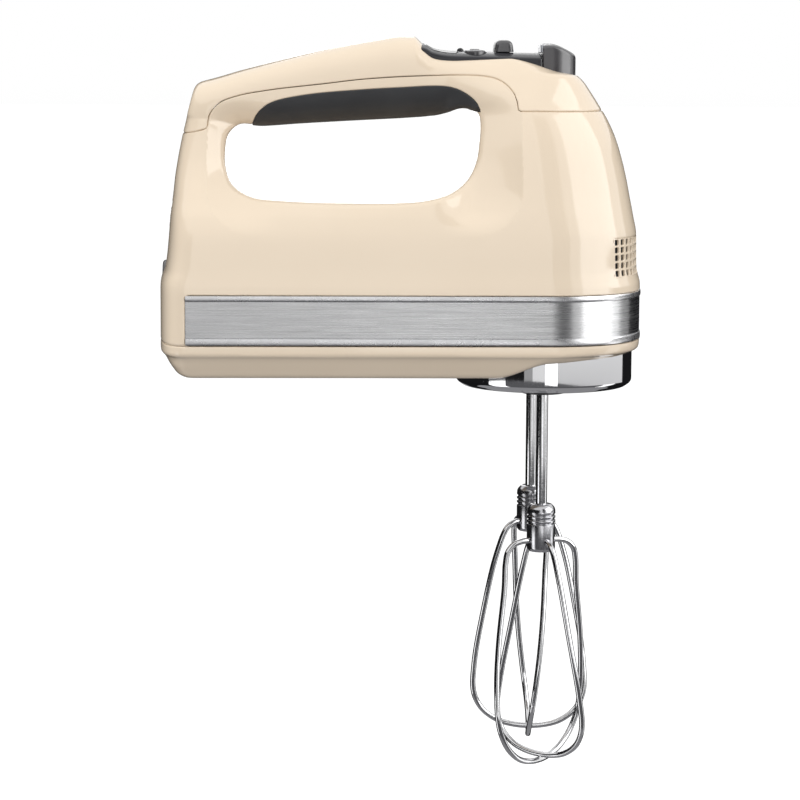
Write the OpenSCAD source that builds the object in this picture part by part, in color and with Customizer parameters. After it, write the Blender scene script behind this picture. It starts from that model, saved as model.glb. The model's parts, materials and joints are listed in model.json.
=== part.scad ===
// Hand mixer with a pair of counter-rotating wire beaters.
// +X points to the nose, +Z up, and the origin is the centre of the flat heel rest
// on the back, level with the middle of the metal band. Sizes are in millimetres.

/* [Casing] */
// Distance from the heel rest to the front of the metal band
body_l = 202.5; // [201:0.5:204]
// Half of the width across the metal band
band_half_w = 44; // [43.5:0.5:45]
// Height of the metal band
band_h = 20.4; // [19:0.2:21]
// Thickness of the moulded walls
wall = 2.2; // [1.8:0.1:2.4]
// Radius of the polished collar below the nose
collar_r = 37.3; // [36.5:0.1:37.5]

/* [Handle] */
// Half of the width across the handle bar
handle_half_w = 16.5; // [15:0.5:17.5]
// Thickness of the soft grip
grip_t = 3.2; // [2.4:0.2:3.4]

/* [Controls] */
// Half of the width across the control panel
panel_half_w = 13; // [12:0.5:13.5]
// Travel of the eject button
eject_travel = 6; // [4:0.5:6]
// Travel of the power slider
slider_travel = 8; // [6:0.5:8]
// Travel of each speed button
button_travel = 0.8; // [0.5:0.1:1]

/* [Drive] */
// Distance between the two beater axes
beater_spacing = 50; // [49.5:0.5:50.5]
// Teeth on each drive gear
gear_teeth = 22; // [22:1:22]
// Module of the worm and the drive gears
gear_module = 1.2; // [1.2:0.1:1.2]

/* [Beaters] */
// Diameter of a beater shaft
shaft_d = 4.8; // [4.6:0.1:5]
// Diameter of a whisk wire
wire_d = 2.5; // [2:0.1:2.6]
// Largest radius of a whisk, to the middle of its wires
whisk_r = 24.6; // [22:0.1:24.6]
// Twist of a whisk between its shoulder and its widest place
whisk_twist = 20; // [0:1:30]

/* [Hidden] */
$fn = 48;

// Colours
cream = [0.93, 0.86, 0.75];
steel = [0.72, 0.72, 0.73];
dark_plastic = [0.13, 0.13, 0.14];

// Main heights
band_z0 = -7.4;
band_z1 = band_z0 + band_h;
joint_z = band_z0 - 0.4;
base_z = -21.8;
deck_z = 51.4;
collar_x = 161.9;
collar_z0 = -28.1;
collar_z1 = -12;
band_x0 = 11.4;
band_t = 1.4;
// The curved back runs past the heel's flat face, and is cut off there
heel_x0 = -0.6;

// Drive axes
drive_x = 159.3;
drive_z = 14;
beater_y = beater_spacing / 2;
gear_r = gear_teeth * gear_module / 2;
worm_r = beater_y - gear_r;
worm_lead = PI * gear_module;
gear_t = 6;
motor_shaft_r = 4;
spindle_r = 4.5;
spindle_bore_r = shaft_d / 2 + 0.08;
running_gap = 0.06;

// A level of a casing: height, rear end, front end, half-widths at the rear and at
// the front, length of the rounded rear corners and length of the rounded nose
lower_levels = [
    [base_z, 7, 192, 34, 36, 18, 34],
    [-19.5, 4, 195, 36, 37.6, 18, 36],
    [-11.5, heel_x0, 201, 41, 43, 19, 39.6],
    [joint_z, heel_x0, body_l, band_half_w - 1.5, band_half_w, 19, 41],
    [band_z1 + 1.5, heel_x0, body_l, band_half_w - 1.5, band_half_w, 19, 41],
    [18.5, heel_x0 + 0.4, 201.6, 42.2, 43.8, 19, 40.5],
    [22.5, 2.6, 200.4, 41.6, 43.3, 19, 40],
    [36, 3.5, 200.2, 40, 42.6, 18, 40],
    [44, 4.2, 199.2, 38, 41.6, 17, 40],
    [48.5, 4.8, 198.3, 35, 39.5, 16, 40],
    [deck_z, 5.2, 197.8, 30, 34, 15, 40]
];
head_levels = [
    [30, 118, 200.2, 41, 42.8, 14, 40],
    [50, 126, 198, 40, 41, 14, 40],
    [62, 131.6, 195.6, 37, 38.5, 14, 39],
    [75, 132.8, 191.3, 33, 35, 13, 37],
    [88, 133, 184.9, 28, 30, 13, 33],
    [96, 136, 180, 22, 25.5, 12, 29],
    [102.7, 140, 174.6, 17, 20, 11, 25],
    [106.4, 143, 161.6, 15, 17, 10, 17],
    [108.4, 146, 156.4, 13, 14, 8, 12]
];
rear_levels = [
    [34, 3.4, 56, 38, 39, 16, 24],
    [46, 4.4, 42, 33, 34, 16, 14],
    [56, 5.6, 30.5, 26.5, 27, 14, 10],
    [66, 7.1, 27.4, 21, 23, 12, 9],
    [76, 9.2, 28.3, 18, 19, 10, 9],
    [84, 11, 33, 16.5, 17, 9, 10],
    [92, 12.4, 38, 14.5, 15.5, 8, 12]
];
// A station along the handle bar: place, underside, top and half-width
handle_stations = [
    [12.8, 84, 92.5, 11],
    [16.6, 83, 97.8, 14],
    [24, 82, 100.8, handle_half_w - 0.8],
    [34, 81.6, 103.8, handle_half_w],
    [44, 81.4, 106.6, handle_half_w],
    [75, 82.6, 114.1, handle_half_w],
    [92, 83.6, 117.1, handle_half_w],
    [106.4, 84.4, 118.6, handle_half_w + 0.3],
    [109.4, 84.5, 116, handle_half_w + 0.5],
    [113, 84.8, 112.4, handle_half_w + 0.8],
    [118, 86.4, 109.4, handle_half_w + 1.2],
    [124, 88.6, 109, handle_half_w + 2],
    [136, 87, 109, handle_half_w + 4],
    [155.5, 90, 108.6, handle_half_w + 4.5]
];
// Side outline of the line where the handle cover meets the main housing
cover_line = [
    [-5, 78], [10.8, 78.2], [19.5, 80], [20.3, 82.3], [20.9, 85.6], [24.9, 90.5],
    [31.9, 93.4], [45.9, 96], [67.3, 98.5], [85, 100.6], [107.7, 102], [131.3, 102.5],
    [138.8, 101.3], [143, 98.9], [145.9, 94.8], [147.6, 88.2], [148.5, 87.4], [210, 87.8]
];
// Side outline of the upper edge of the soft grip
grip_line = [
    [38.8, 82.4], [40.5, 86.1], [45.9, 90.6], [60.3, 94], [81.8, 96.1], [99.5, 97.2],
    [117.3, 97.9], [123.2, 96.7], [128.2, 93.8], [131, 91], [131.9, 87.6]
];
// Steps round each rounded end of an outline: the hollows need fewer
outer_steps = 7;
inner_steps = 4;
nose_power = 2.08;
rear_power = 3.4;

// ---------- shared shapes ----------

function unit(v) = v / norm(v);
function flip_y(p) = [p[0], -p[1]];
function backwards(list) = [for (i = [len(list) - 1:-1:0]) list[i]];

// One side of a casing's plan outline, from the nose to the middle of the rear
function half_outline(l, inset) =
    let (xr = l[1] + inset, xf = l[2] - inset, wr = l[3] - inset, wf = l[4] - inset)
    let (n = inset == 0 ? outer_steps : inner_steps)
    concat(
        [for (i = [0:n]) let (t = 90 * i / n)
            [xf - l[6] + l[6] * pow(cos(t), 2 / nose_power), wf * pow(sin(t), 2 / nose_power)]],
        [for (i = [0:n]) let (t = 90 * i / n)
            [xr + l[5] - l[5] * pow(sin(t), 2 / rear_power), wr * pow(cos(t), 2 / rear_power)]]
    );

function plan_outline(l, inset) =
    let (half = half_outline(l, inset), last = len(half) - 1)
    concat(half, [for (i = [last - 1:-1:1]) flip_y(half[i])]);

module plan_slice(l, inset, low, high) {
    translate([0, 0, min(max(l[0], low + inset), high - inset)])
        linear_extrude(0.02)
            polygon(plan_outline(l, inset));
}

module plan_loft(levels, inset = 0) {
    low = levels[0][0];
    high = levels[len(levels) - 1][0];
    for (i = [0:len(levels) - 2])
        hull() {
            plan_slice(levels[i], inset, low, high);
            plan_slice(levels[i + 1], inset, low, high);
        }
}

// A rounded cross-section of the handle bar at one station
module bar_slice(s, inset) {
    half_h = (s[2] - s[1]) / 2 - inset;
    half_w = s[3] - inset;
    n = inset == 0 ? 24 : 16;
    translate([s[0], 0, (s[1] + s[2]) / 2])
        rotate([90, 0, 90])
            linear_extrude(0.02)
                polygon([for (i = [0:n - 1]) let (t = 360 * i / n)
                    [half_w * sign(cos(t)) * pow(abs(cos(t)), 0.72),
                     half_h * sign(sin(t)) * pow(abs(sin(t)), 0.72)]]);
}

module handle_bar(inset = 0) {
    for (i = [0:len(handle_stations) - 2])
        hull() {
            bar_slice(handle_stations[i], inset);
            bar_slice(handle_stations[i + 1], inset);
        }
}

// The whole casing as one solid, or its hollow when it is inset by a wall
module casing_form(inset = 0, bar_inset = 0) {
    plan_loft(lower_levels, inset);
    plan_loft(head_levels, inset);
    plan_loft(rear_levels, inset);
    handle_bar(bar_inset);
}

// Everything on one side of an outline drawn in the X and Z directions
module side_cut(points, half_w = 60) {
    translate([0, half_w, 0])
        rotate([90, 0, 0])
            linear_extrude(2 * half_w)
                polygon(points);
}

module above_cover_line() {
    side_cut(concat(cover_line, [[210, 130], [-5, 130]]));
}

module grip_zone() {
    side_cut(concat(grip_line, [[131.9, 76], [38.8, 76]]));
}

module band_plan(inset) {
    polygon(plan_outline(lower_levels[3], inset));
}

module behind_heel_face() {
    translate([-20, -60, -60])
        cube([20, 120, 200]);
}

module band_ring(z0, z1, outer, inner) {
    intersection() {
        translate([0, 0, z0])
            linear_extrude(z1 - z0)
                difference() {
                    band_plan(outer);
                    band_plan(inner);
                }
        translate([band_x0, -60, z0 - 1])
            cube([220, 120, z1 - z0 + 2]);
    }
}

// A rod of constant section along a list of points, each with its side direction
function ring_points(at, along, side, r, n) =
    let (u = unit(cross(along, side)), v = unit(cross(u, along)))
    [for (k = [0:n - 1]) at + r * (cos(360 * k / n) * u + sin(360 * k / n) * v)];

function along(path, i) = path[min(i + 1, len(path) - 1)] - path[max(i - 1, 0)];

module rod_along(path, sides, r, n = 8) {
    rings = len(path);
    points = [for (i = [0:rings - 1]) each ring_points(path[i], along(path, i), sides[i], r, n)];
    walls = [for (i = [0:rings - 2], k = [0:n - 1])
        [i * n + k, i * n + (k + 1) % n, (i + 1) * n + (k + 1) % n, (i + 1) * n + k]];
    first = [for (k = [n - 1:-1:0]) k];
    last = [for (k = [0:n - 1]) (rings - 1) * n + k];
    polyhedron(points = points, faces = concat([first], walls, [last]), convexity = 8);
}

module x_cylinder(x0, x1, r) {
    translate([x0, 0, drive_z])
        rotate([0, 90, 0])
            cylinder(h = x1 - x0, r = r);
}

module at_beaters() {
    for (side = [-1, 1])
        translate([drive_x, side * beater_y, 0])
            children();
}

// ---------- casing ----------

panel_x0 = 108.6;
panel_x1 = 158.4;
panel_bed_z = 106;
eject_x0 = 159.1;
eject_x1 = 173.8;
eject_half_w = 12;
swivel_z = 16;
swivel_r = 8.5;
vent_pitch = 3.2;
vent_rows = 5;
vent_z0 = 21.4;
vent_columns = 8;

module nose_vents() {
    for (row = [0:vent_rows - 1], column = [-vent_columns:vent_columns])
        translate([158, 0, vent_z0 + row * vent_pitch])
            rotate([0, 0, column * 5.6])
                translate([30, -1.25, -1.2])
                    cube([20, 2.5, 2.4]);
}

module rear_vents() {
    for (row = [0:4])
        translate([-2, -14, 34 + row * 3.4])
            cube([14, 28, 1.9]);
}

module swivel_seat_hole() {
    translate([-1, 0, swivel_z])
        rotate([0, 90, 0])
            cylinder(h = 12, r = swivel_r + 0.3);
}

screw_places = [[20, -31], [20, 31], [112, -31], [112, 31]];
screw_head_z = -18.6;
boss_r = 4.5;

// Bosses for the casing screws, each joined to the side wall by a rib
module housing_bosses() {
    for (p = screw_places) {
        translate([p[0], p[1], joint_z])
            cylinder(h = 15, r = boss_r);
        translate([p[0] - 1, p[1] > 0 ? p[1] : -42, joint_z])
            cube([2, 42 - abs(p[1]), 15]);
    }
}

// Main shell: the motor body, both columns and the lower half of the handle
module main_housing() {
    color(cream)
        difference() {
            union() {
                difference() {
                    casing_form();
                    casing_form(wall, grip_t + 1.8);
                }
                housing_bosses();
            }
            for (p = screw_places)
                translate([p[0], p[1], joint_z - 1])
                    cylinder(h = 14, r = 1.6);
            behind_heel_face();
            above_cover_line();
            translate([-10, -60, -60])
                cube([230, 120, 60 + joint_z]);
            band_ring(joint_z - 1, band_z1 + 0.1, -2, band_t);
            difference() {
                grip_zone();
                handle_bar(grip_t);
            }
            nose_vents();
            rear_vents();
            swivel_seat_hole();
        }
}

// Cover that closes the top of the handle and the head, and carries the controls
module handle_cover() {
    color(cream)
        difference() {
            intersection() {
                casing_form();
                above_cover_line();
            }
            casing_form(wall, wall);
            behind_heel_face();
            panel_bed(0.1);
            translate([eject_x0 - 0.4, -eject_half_w - 0.4, 80])
                cube([eject_x1 - eject_x0 + 0.8, 2 * eject_half_w + 0.8, 60]);
        }
}

// Bottom shell below the metal band, with a deep recess for each screw head
module bottom_housing() {
    color(cream)
        difference() {
            union() {
                difference() {
                    plan_loft(lower_levels);
                    plan_loft(lower_levels, wall);
                }
                for (p = screw_places)
                    translate([p[0], p[1], base_z + 1])
                        cylinder(h = joint_z - base_z - 1.1, r = boss_r + 0.5);
            }
            behind_heel_face();
            translate([-10, -60, joint_z])
                cube([230, 120, 90]);
            translate([collar_x, 0, -40])
                cylinder(h = 40 + collar_z1, r = collar_r + 0.05, $fn = 72);
            for (p = screw_places) {
                translate([p[0], p[1], base_z - 1])
                    cylinder(h = 20, r = 1.7);
                translate([p[0], p[1], base_z - 1])
                    cylinder(h = screw_head_z + 1.8 - base_z + 1, r = 3.3);
            }
        }
}

module trim_band() {
    color(steel)
        band_ring(band_z0 + 2.9, band_z1 - 2.3, 0.4, band_t);
}

module trim_beads() {
    color([0.85, 0.85, 0.86]) {
        band_ring(band_z0, band_z0 + 2.9, 0, band_t);
        band_ring(band_z1 - 2.3, band_z1, 0, band_t);
    }
}

// Polished collar with a closed face that has a hole for each spindle
module collar() {
    color([0.8, 0.8, 0.82])
        translate([collar_x, 0, 0])
            difference() {
                rotate_extrude($fn = 96)
                    polygon([
                        [0, collar_z0], [collar_r - 3.6, collar_z0], [collar_r - 1.6, -27.3],
                        [collar_r - 0.4, -26.4], [collar_r, -25.2], [collar_r, collar_z1],
                        [collar_r - 2, collar_z1], [collar_r - 2, -25.9], [0, -25.9]
                    ]);
                for (side = [-1, 1])
                    translate([drive_x - collar_x, side * beater_y, collar_z0 - 1])
                        cylinder(h = 6, r = 9);
            }
}

module socket_rings() {
    color(dark_plastic)
        at_beaters()
            translate([0, 0, collar_z0 - 0.6])
                difference() {
                    union() {
                        cylinder(h = 8, r = 8.95);
                        translate([0, 0, 2.9])
                            cylinder(h = 1.4, r = 9.9);
                    }
                    translate([0, 0, -1])
                        cylinder(h = 12, r = 5.4);
                }
}

// Soft overmould round the underside and the sides of the handle
module soft_grip() {
    color(dark_plastic)
        difference() {
            intersection() {
                handle_bar();
                grip_zone();
            }
            handle_bar(grip_t);
        }
}

module vent_screen() {
    color(dark_plastic)
        translate([0, 0, 17])
            linear_extrude(20)
                intersection() {
                    difference() {
                        polygon(plan_outline(lower_levels[7], 3.4));
                        polygon(plan_outline(lower_levels[7], 4.6));
                    }
                    translate([176, -50])
                        square([40, 100]);
                }
}

// ---------- controls ----------

slot_x0 = 139;
slot_x1 = 156.2;
slot_half_w = 3.2;
button_x = 131.4;
button_y = 5.6;
button_r = 4.3;

// Crowned strip of the control panel, as a solid
module panel_solid(half_w, drop, grow = 0) {
    translate([0, half_w, 0])
        rotate([90, 0, 0])
            linear_extrude(2 * half_w)
                polygon([
                    [panel_x0 - grow, 115.6 - drop], [110.2, 115.4 - drop], [113.6, 113.6 - drop],
                    [117.4, 112.7 - drop], [121.5, 112.3 - drop], [137, 112 - drop],
                    [panel_x1 + grow, 111.6 - drop], [panel_x1 + grow, panel_bed_z - 2 * grow],
                    [115, panel_bed_z - 2 * grow], [112, 108 - 2 * grow],
                    [panel_x0 - grow, 112.5 - 2 * grow]
                ]);
}

module panel_bed(gap) {
    translate([0, 0, gap])
        panel_solid(panel_half_w + gap, -6, gap);
}

module control_panel() {
    color(dark_plastic)
        difference() {
            union() {
                panel_solid(panel_half_w, 2.2);
                panel_solid(panel_half_w - 2, 0.8);
                panel_solid(panel_half_w - 4.5, 0);
            }
            translate([slot_x0, -slot_half_w, 100])
                cube([slot_x1 - slot_x0, 2 * slot_half_w, 20]);
            for (side = [-1, 1])
                translate([button_x, side * button_y, 100])
                    cylinder(h = 20, r = button_r + 0.3);
            panel_window(0.05, 1.2);
        }
}

module panel_window(gap, depth) {
    intersection() {
        difference() {
            panel_solid(9 + gap, -4);
            panel_solid(20, depth, 1);
        }
        translate([110.4 - gap, -20, 100])
            cube([13.4 + 2 * gap, 40, 30]);
    }
}

// Glossy window over the speed display, with a small raised lip in front
module display_window() {
    color([0.03, 0.03, 0.04])
        intersection() {
            difference() {
                panel_solid(9, -0.3);
                panel_solid(20, 1.2, 1);
            }
            translate([110.4, -20, 100])
                cube([13.4, 40, 30]);
        }
}

module display_board() {
    color([0.1, 0.35, 0.2])
        difference() {
            union() {
                translate([112, -11, 99])
                    cube([44, 22, 1.6]);
                translate([113, -7, 100.6])
                    cube([9, 14, 3]);
            }
            translate([slot_x0 - 2, -4, 98])
                cube([slot_x1 - slot_x0 + 4, 8, 6]);
        }
}

module speed_button(side) {
    color([0.2, 0.2, 0.21])
        translate([button_x, side * button_y, 0]) {
            translate([0, 0, 103.4])
                cylinder(h = 9.1, r = button_r);
            translate([0, 0, 103.4])
                cylinder(h = 1, r = button_r + 1.1);
        }
}

module speed_up_button() {
    speed_button(1);
}

module speed_down_button() {
    speed_button(-1);
}

// Knob on a stem that runs in the panel's slot, at its off end
module power_slider() {
    color([0.22, 0.22, 0.23]) {
        translate([0, 6, 0])
            rotate([90, 0, 0])
                linear_extrude(12)
                    polygon([
                        [139.4, 112.3], [147.4, 112.3], [147, 114.8], [145.8, 116.6],
                        [143.5, 117], [141.4, 116.5], [140, 114.8]
                    ]);
        translate([140.6, -2.8, 104])
            cube([5.6, 5.6, 8.4]);
        translate([139.4, -4.4, 103])
            cube([8, 8.8, 1.8]);
    }
}

module slider_switch() {
    color([0.1, 0.1, 0.1])
        translate([138, -3.4, 96])
            cube([20, 6.8, 6.6]);
}

// Sloping button at the front of the panel, hollow below its top
module eject_button() {
    color([0.35, 0.34, 0.35])
        difference() {
            side_cut([
                [eject_x0, 98], [eject_x0, 111.8], [160.2, 115.4], [162.5, 115.5],
                [165.2, 115], [169.4, 113.3], [173, 111.4], [eject_x1, 109.8],
                [eject_x1, 98]
            ], eject_half_w);
            translate([eject_x0 + 1.6, 2 - eject_half_w, 90])
                cube([eject_x1 - eject_x0 - 3.2, 2 * eject_half_w - 4, 17]);
            translate([eject_x0 - 1, -eject_half_w + 2, 111.8])
                cube([1.6, 2 * eject_half_w - 4, 8]);
        }
}

module eject_button_insert() {
    color([0.75, 0.76, 0.78])
        translate([eject_x0, -eject_half_w + 2.1, 111.9])
            cube([0.5, 2 * eject_half_w - 4.2, 3]);
}

rod_x = 166;
rod_r = 3;
yoke_z = 41;
guide_z = 56;
flange_z = 75;

module eject_rod() {
    color([0.8, 0.8, 0.78])
        translate([rod_x, 0, 0]) {
            translate([0, 0, yoke_z + 3])
                cylinder(h = 107 - yoke_z - 3, r = rod_r);
            translate([0, 0, flange_z])
                cylinder(h = 2, r = 6.4);
            translate([0, 0, 105])
                cylinder(h = 2, r = 5);
        }
}

// Yoke that pushes both beater shafts out through the top of their spindles
module eject_yoke() {
    color([0.8, 0.8, 0.78]) {
        for (side = [-1, 1])
            hull() {
                translate([rod_x, 0, yoke_z])
                    cylinder(h = 3, r = 5, $fn = 32);
                translate([drive_x, side * beater_y, yoke_z])
                    cylinder(h = 3, r = 4, $fn = 32);
            }
        at_beaters()
            translate([0, 0, beater_top_z + 0.4])
                cylinder(h = yoke_z - beater_top_z - 0.4, r = shaft_d / 2 - 0.2);
    }
}

spring_turns = 5;
spring_wire_r = 0.5;
spring_r = 4.9;
spring_z0 = guide_z + 3 + spring_wire_r;
spring_z1 = flange_z - spring_wire_r;

module eject_spring() {
    steps = spring_turns * 12;
    path = [for (i = [0:steps]) let (t = 360 * spring_turns * i / steps)
        [rod_x + spring_r * cos(t), spring_r * sin(t),
         spring_z0 + (spring_z1 - spring_z0) * i / steps]];
    color(steel)
        rod_along(path, [for (p = path) [0, 0, 1]], spring_wire_r, 6);
}

// Fixed plate that guides the rod and holds up its spring
module eject_guide() {
    color([0.7, 0.7, 0.68])
        difference() {
            union() {
                translate([rod_x - 8, -33.5, guide_z])
                    cube([13, 67, 3]);
                for (side = [-1, 1])
                    translate([rod_x - 6, side * 32 - 1.5, bridge_z + 3])
                        cube([8, 3, guide_z - bridge_z - 3]);
            }
            translate([rod_x, 0, guide_z - 1])
                cylinder(h = 5, r = rod_r + running_gap);
        }
}

// ---------- cord inlet ----------

// Round swivel whose off-centre outlet guides the cord
module cord_swivel() {
    color([0.3, 0.3, 0.31])
        translate([0, 0, swivel_z])
            rotate([0, 90, 0])
                difference() {
                    union() {
                        translate([0, 0, 0.7])
                            cylinder(h = 7, r = swivel_r);
                        translate([0, 0, 7.7])
                            cylinder(h = 2, r = swivel_r + 2);
                    }
                    translate([3, 0, -1])
                        cylinder(h = 12, r = 3.5);
                }
}

// Fixed cup that the swivel's flange turns in
module swivel_housing() {
    color(dark_plastic)
        translate([5.5, 0, swivel_z])
            rotate([0, 90, 0])
                difference() {
                    cylinder(h = 8, r = swivel_r + 4);
                    translate([0, 0, -1])
                        cylinder(h = 5.6, r = swivel_r + 2.3);
                    translate([0, 0, 2])
                        cylinder(h = 10, r = swivel_r - 1);
                }
}

// ---------- motor ----------

stack_x0 = 60;
stack_x1 = 96;
stator_half_w = 26;
stator_half_h = 22;
bore_r = 17.4;
core_r = 16.8;

module stator_core() {
    color([0.55, 0.56, 0.6])
        difference() {
            translate([stack_x0, -stator_half_w, drive_z - stator_half_h])
                cube([stack_x1 - stack_x0, 2 * stator_half_w, 2 * stator_half_h]);
            x_cylinder(stack_x0 - 1, stack_x1 + 1, bore_r);
            for (side = [-1, 1])
                translate([stack_x0 - 1, side * 19 - 4.4, drive_z - 11])
                    cube([stack_x1 - stack_x0 + 2, 8.8, 22]);
            for (y = [-1, 1], z = [-1, 1])
                translate([stack_x0 - 1, y * 22.5, drive_z + z * 18.5])
                    rotate([0, 90, 0])
                        cylinder(h = stack_x1 - stack_x0 + 2, r = 2.2);
        }
}

// Two saddle coils: their sides lie in the stator's windows, their ends stand proud
module field_coils() {
    color([0.72, 0.4, 0.2])
        for (half = [-1, 1]) {
            for (side = [-1, 1])
                translate([stack_x0 - 6, side * 20.8 - 2.2, drive_z + (half > 0 ? 0.8 : -10.4)])
                    cube([stack_x1 - stack_x0 + 12, 4.4, 9.6]);
            for (x = [stack_x0 - 6, stack_x1 + 1])
                translate([x, 0, drive_z])
                    rotate([90, 0, 90])
                        linear_extrude(5)
                            difference() {
                                circle(r = 23);
                                circle(r = 18.6);
                                translate([-30, half > 0 ? -30 : -0.8])
                                    square([60, 30.8]);
                            }
        }
}

module motor_rear_bracket() {
    color([0.45, 0.46, 0.48])
        difference() {
            union() {
                translate([29, -stator_half_w, drive_z - 21])
                    cube([4, 2 * stator_half_w, 42]);
                x_cylinder(24, 29, 12);
            }
            x_cylinder(23, 34, 9.5);
            for (y = [-1, 1], z = [-1, 1])
                translate([28, y * 22.5, drive_z + z * 18.5])
                    rotate([0, 90, 0])
                        cylinder(h = 6, r = 2.2);
        }
}

module brush_holders() {
    color([0.78, 0.62, 0.3])
        for (side = [-1, 1])
            difference() {
                translate([39.5, side * 17.5 - 7, drive_z - 5])
                    cube([9, 14, 10]);
                translate([41, side * 17.5 - 8, drive_z - 3.5])
                    cube([6, 16, 7]);
            }
}

module carbon_brushes() {
    color([0.15, 0.15, 0.16])
        for (side = [-1, 1])
            translate([41.05, side * 15 - 5.5, drive_z - 3.45])
                cube([5.9, 11, 6.9]);
}

module bearing_ring(x0, x1, inner, outer) {
    difference() {
        x_cylinder(x0, x1, outer);
        x_cylinder(x0 - 1, x1 + 1, inner + running_gap);
    }
}

module rear_motor_bearing() {
    color(steel)
        bearing_ring(25, 32, motor_shaft_r, 9.5);
}

module front_motor_bearing() {
    color(steel)
        bearing_ring(129, 136, motor_shaft_r, 9.5);
}

module nose_bearing() {
    color([0.7, 0.55, 0.3])
        bearing_ring(177, 185, motor_shaft_r, 7);
}

worm_x0 = drive_x - 10;
worm_x1 = drive_x + 10;

module armature_shaft() {
    color(steel) {
        x_cylinder(23, 186, motor_shaft_r);
        x_cylinder(worm_x0, worm_x1, worm_root_r);
    }
}

module armature_core() {
    color([0.5, 0.51, 0.55])
        difference() {
            x_cylinder(stack_x0, stack_x1, core_r);
            x_cylinder(stack_x0 - 1, stack_x1 + 1, motor_shaft_r);
            for (k = [0:11])
                translate([stack_x0 - 1, 0, drive_z])
                    rotate([k * 30, 0, 0])
                        translate([0, -1.6, 10.5])
                            cube([stack_x1 - stack_x0 + 2, 3.2, 8]);
        }
}

// Copper in the slots, with a bulge of end turns on both sides of the core
module armature_windings() {
    color([0.75, 0.42, 0.2]) {
        for (k = [0:11])
            translate([stack_x0, 0, drive_z])
                rotate([k * 30, 0, 0])
                    translate([0, -1.5, 10.6])
                        cube([stack_x1 - stack_x0, 3, 5]);
        for (x = [stack_x0 - 8, stack_x1])
            difference() {
                x_cylinder(x, x + 8, 15.8);
                x_cylinder(x - 1, x + 9, motor_shaft_r);
            }
    }
}

module commutator() {
    color([0.75, 0.45, 0.25])
        difference() {
            x_cylinder(38.5, 50.5, 9.2);
            x_cylinder(38, 51, motor_shaft_r);
            for (k = [0:11])
                translate([38, 0, drive_z])
                    rotate([k * 30, 0, 0])
                        translate([0, -0.3, 8.2])
                            cube([9.5, 0.6, 2]);
        }
}

module cooling_fan() {
    color([0.2, 0.22, 0.24])
        difference() {
            union() {
                x_cylinder(110, 122, 7);
                x_cylinder(110, 111.5, 21);
                for (k = [0:8])
                    translate([111, 0, drive_z])
                        rotate([k * 40, 0, 0])
                            translate([0, -0.8, 5])
                                cube([10, 1.6, 16]);
            }
            x_cylinder(109, 123, motor_shaft_r);
        }
}

worm_tip_r = worm_r + 0.9 * gear_module;
worm_root_r = worm_r - 1.2 * gear_module;
thread_steps = 24;
// Axial distance and radius of the thread's four edges
thread_edges = [
    [-1.5, worm_root_r - 0.3], [-0.42, worm_tip_r], [0.42, worm_tip_r], [1.5, worm_root_r - 0.3]
];
// At this turn a gap faces the middle tooth of the near gear at rest
thread_turn = 0;

function thread_point(edge, turns) = let (a = 360 * turns + thread_turn)
    [worm_lead * turns + edge[0], edge[1] * cos(a), edge[1] * sin(a)];

// Right-hand thread sleeve that is pressed onto the thick end of the armature shaft
module worm() {
    half_count = floor(thread_steps * 2.25);
    rings = 2 * half_count + 1;
    color(steel)
        translate([drive_x, 0, drive_z])
            polyhedron(
                points = [for (i = [-half_count:half_count], edge = thread_edges)
                    thread_point(edge, i / thread_steps)],
                faces = concat(
                    [[3, 2, 1, 0]],
                    [for (i = [0:rings - 2], k = [0:3])
                        [4 * i + k, 4 * i + (k + 1) % 4, 4 * i + 4 + (k + 1) % 4, 4 * i + 4 + k]],
                    [[for (k = [0:3]) 4 * (rings - 1) + k]]
                ),
                convexity = 8
            );
}

// ---------- gearbox ----------

gear_z0 = drive_z - gear_t / 2;
bridge_z = 31;
base_plate_z = -15.5;
frame_r = 34.2;
spindle_z0 = -28;
spindle_z1 = 34.4;
beater_top_z = 20;
tooth_angle = 360 / gear_teeth;

function gear_outline(turn) = [
    for (k = [0:gear_teeth - 1]) let (a = turn + k * tooth_angle)
        each [
            gear_point(gear_r - 1.25 * gear_module, a - 0.33 * tooth_angle),
            gear_point(gear_r, a - 0.205 * tooth_angle),
            gear_point(gear_r + 0.9 * gear_module, a - 0.09 * tooth_angle),
            gear_point(gear_r + 0.9 * gear_module, a + 0.09 * tooth_angle),
            gear_point(gear_r, a + 0.205 * tooth_angle),
            gear_point(gear_r - 1.25 * gear_module, a + 0.33 * tooth_angle)
        ]
];
function gear_point(r, a) = r * [cos(a), sin(a)];

module drive_gear(side, turn) {
    color([0.85, 0.83, 0.75])
        translate([drive_x, side * beater_y, 0])
            difference() {
                union() {
                    translate([0, 0, gear_z0])
                        linear_extrude(gear_t)
                            polygon(gear_outline(turn));
                    translate([0, 0, gear_z0 - 3])
                        cylinder(h = gear_t + 6, r = 7.5);
                }
                translate([0, 0, gear_z0 - 5])
                    cylinder(h = gear_t + 10, r = spindle_r);
            }
}

module near_drive_gear() {
    drive_gear(-1, 90);
}

module far_drive_gear() {
    drive_gear(1, -90 + tooth_angle / 2);
}

// Tube that turns a beater: bored for its shaft and slotted for its drive wings
module spindle(side) {
    color(steel)
        translate([drive_x, side * beater_y, 0])
            difference() {
                translate([0, 0, spindle_z0])
                    cylinder(h = spindle_z1 - spindle_z0, r = spindle_r);
                translate([0, 0, spindle_z0 - 1])
                    cylinder(h = spindle_z1 - spindle_z0 + 2, r = spindle_bore_r);
                translate([-3.7, -0.6, spindle_z0 - 1])
                    cube([7.4, 1.2, 17]);
            }
}

module near_spindle() {
    spindle(-1);
}

module far_spindle() {
    spindle(1);
}

module lower_spindle_bushes() {
    color([0.7, 0.55, 0.3])
        at_beaters()
            translate([0, 0, -20])
                difference() {
                    cylinder(h = 8, r = 6.5);
                    translate([0, 0, -1])
                        cylinder(h = 10, r = spindle_r + running_gap);
                }
}

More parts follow.
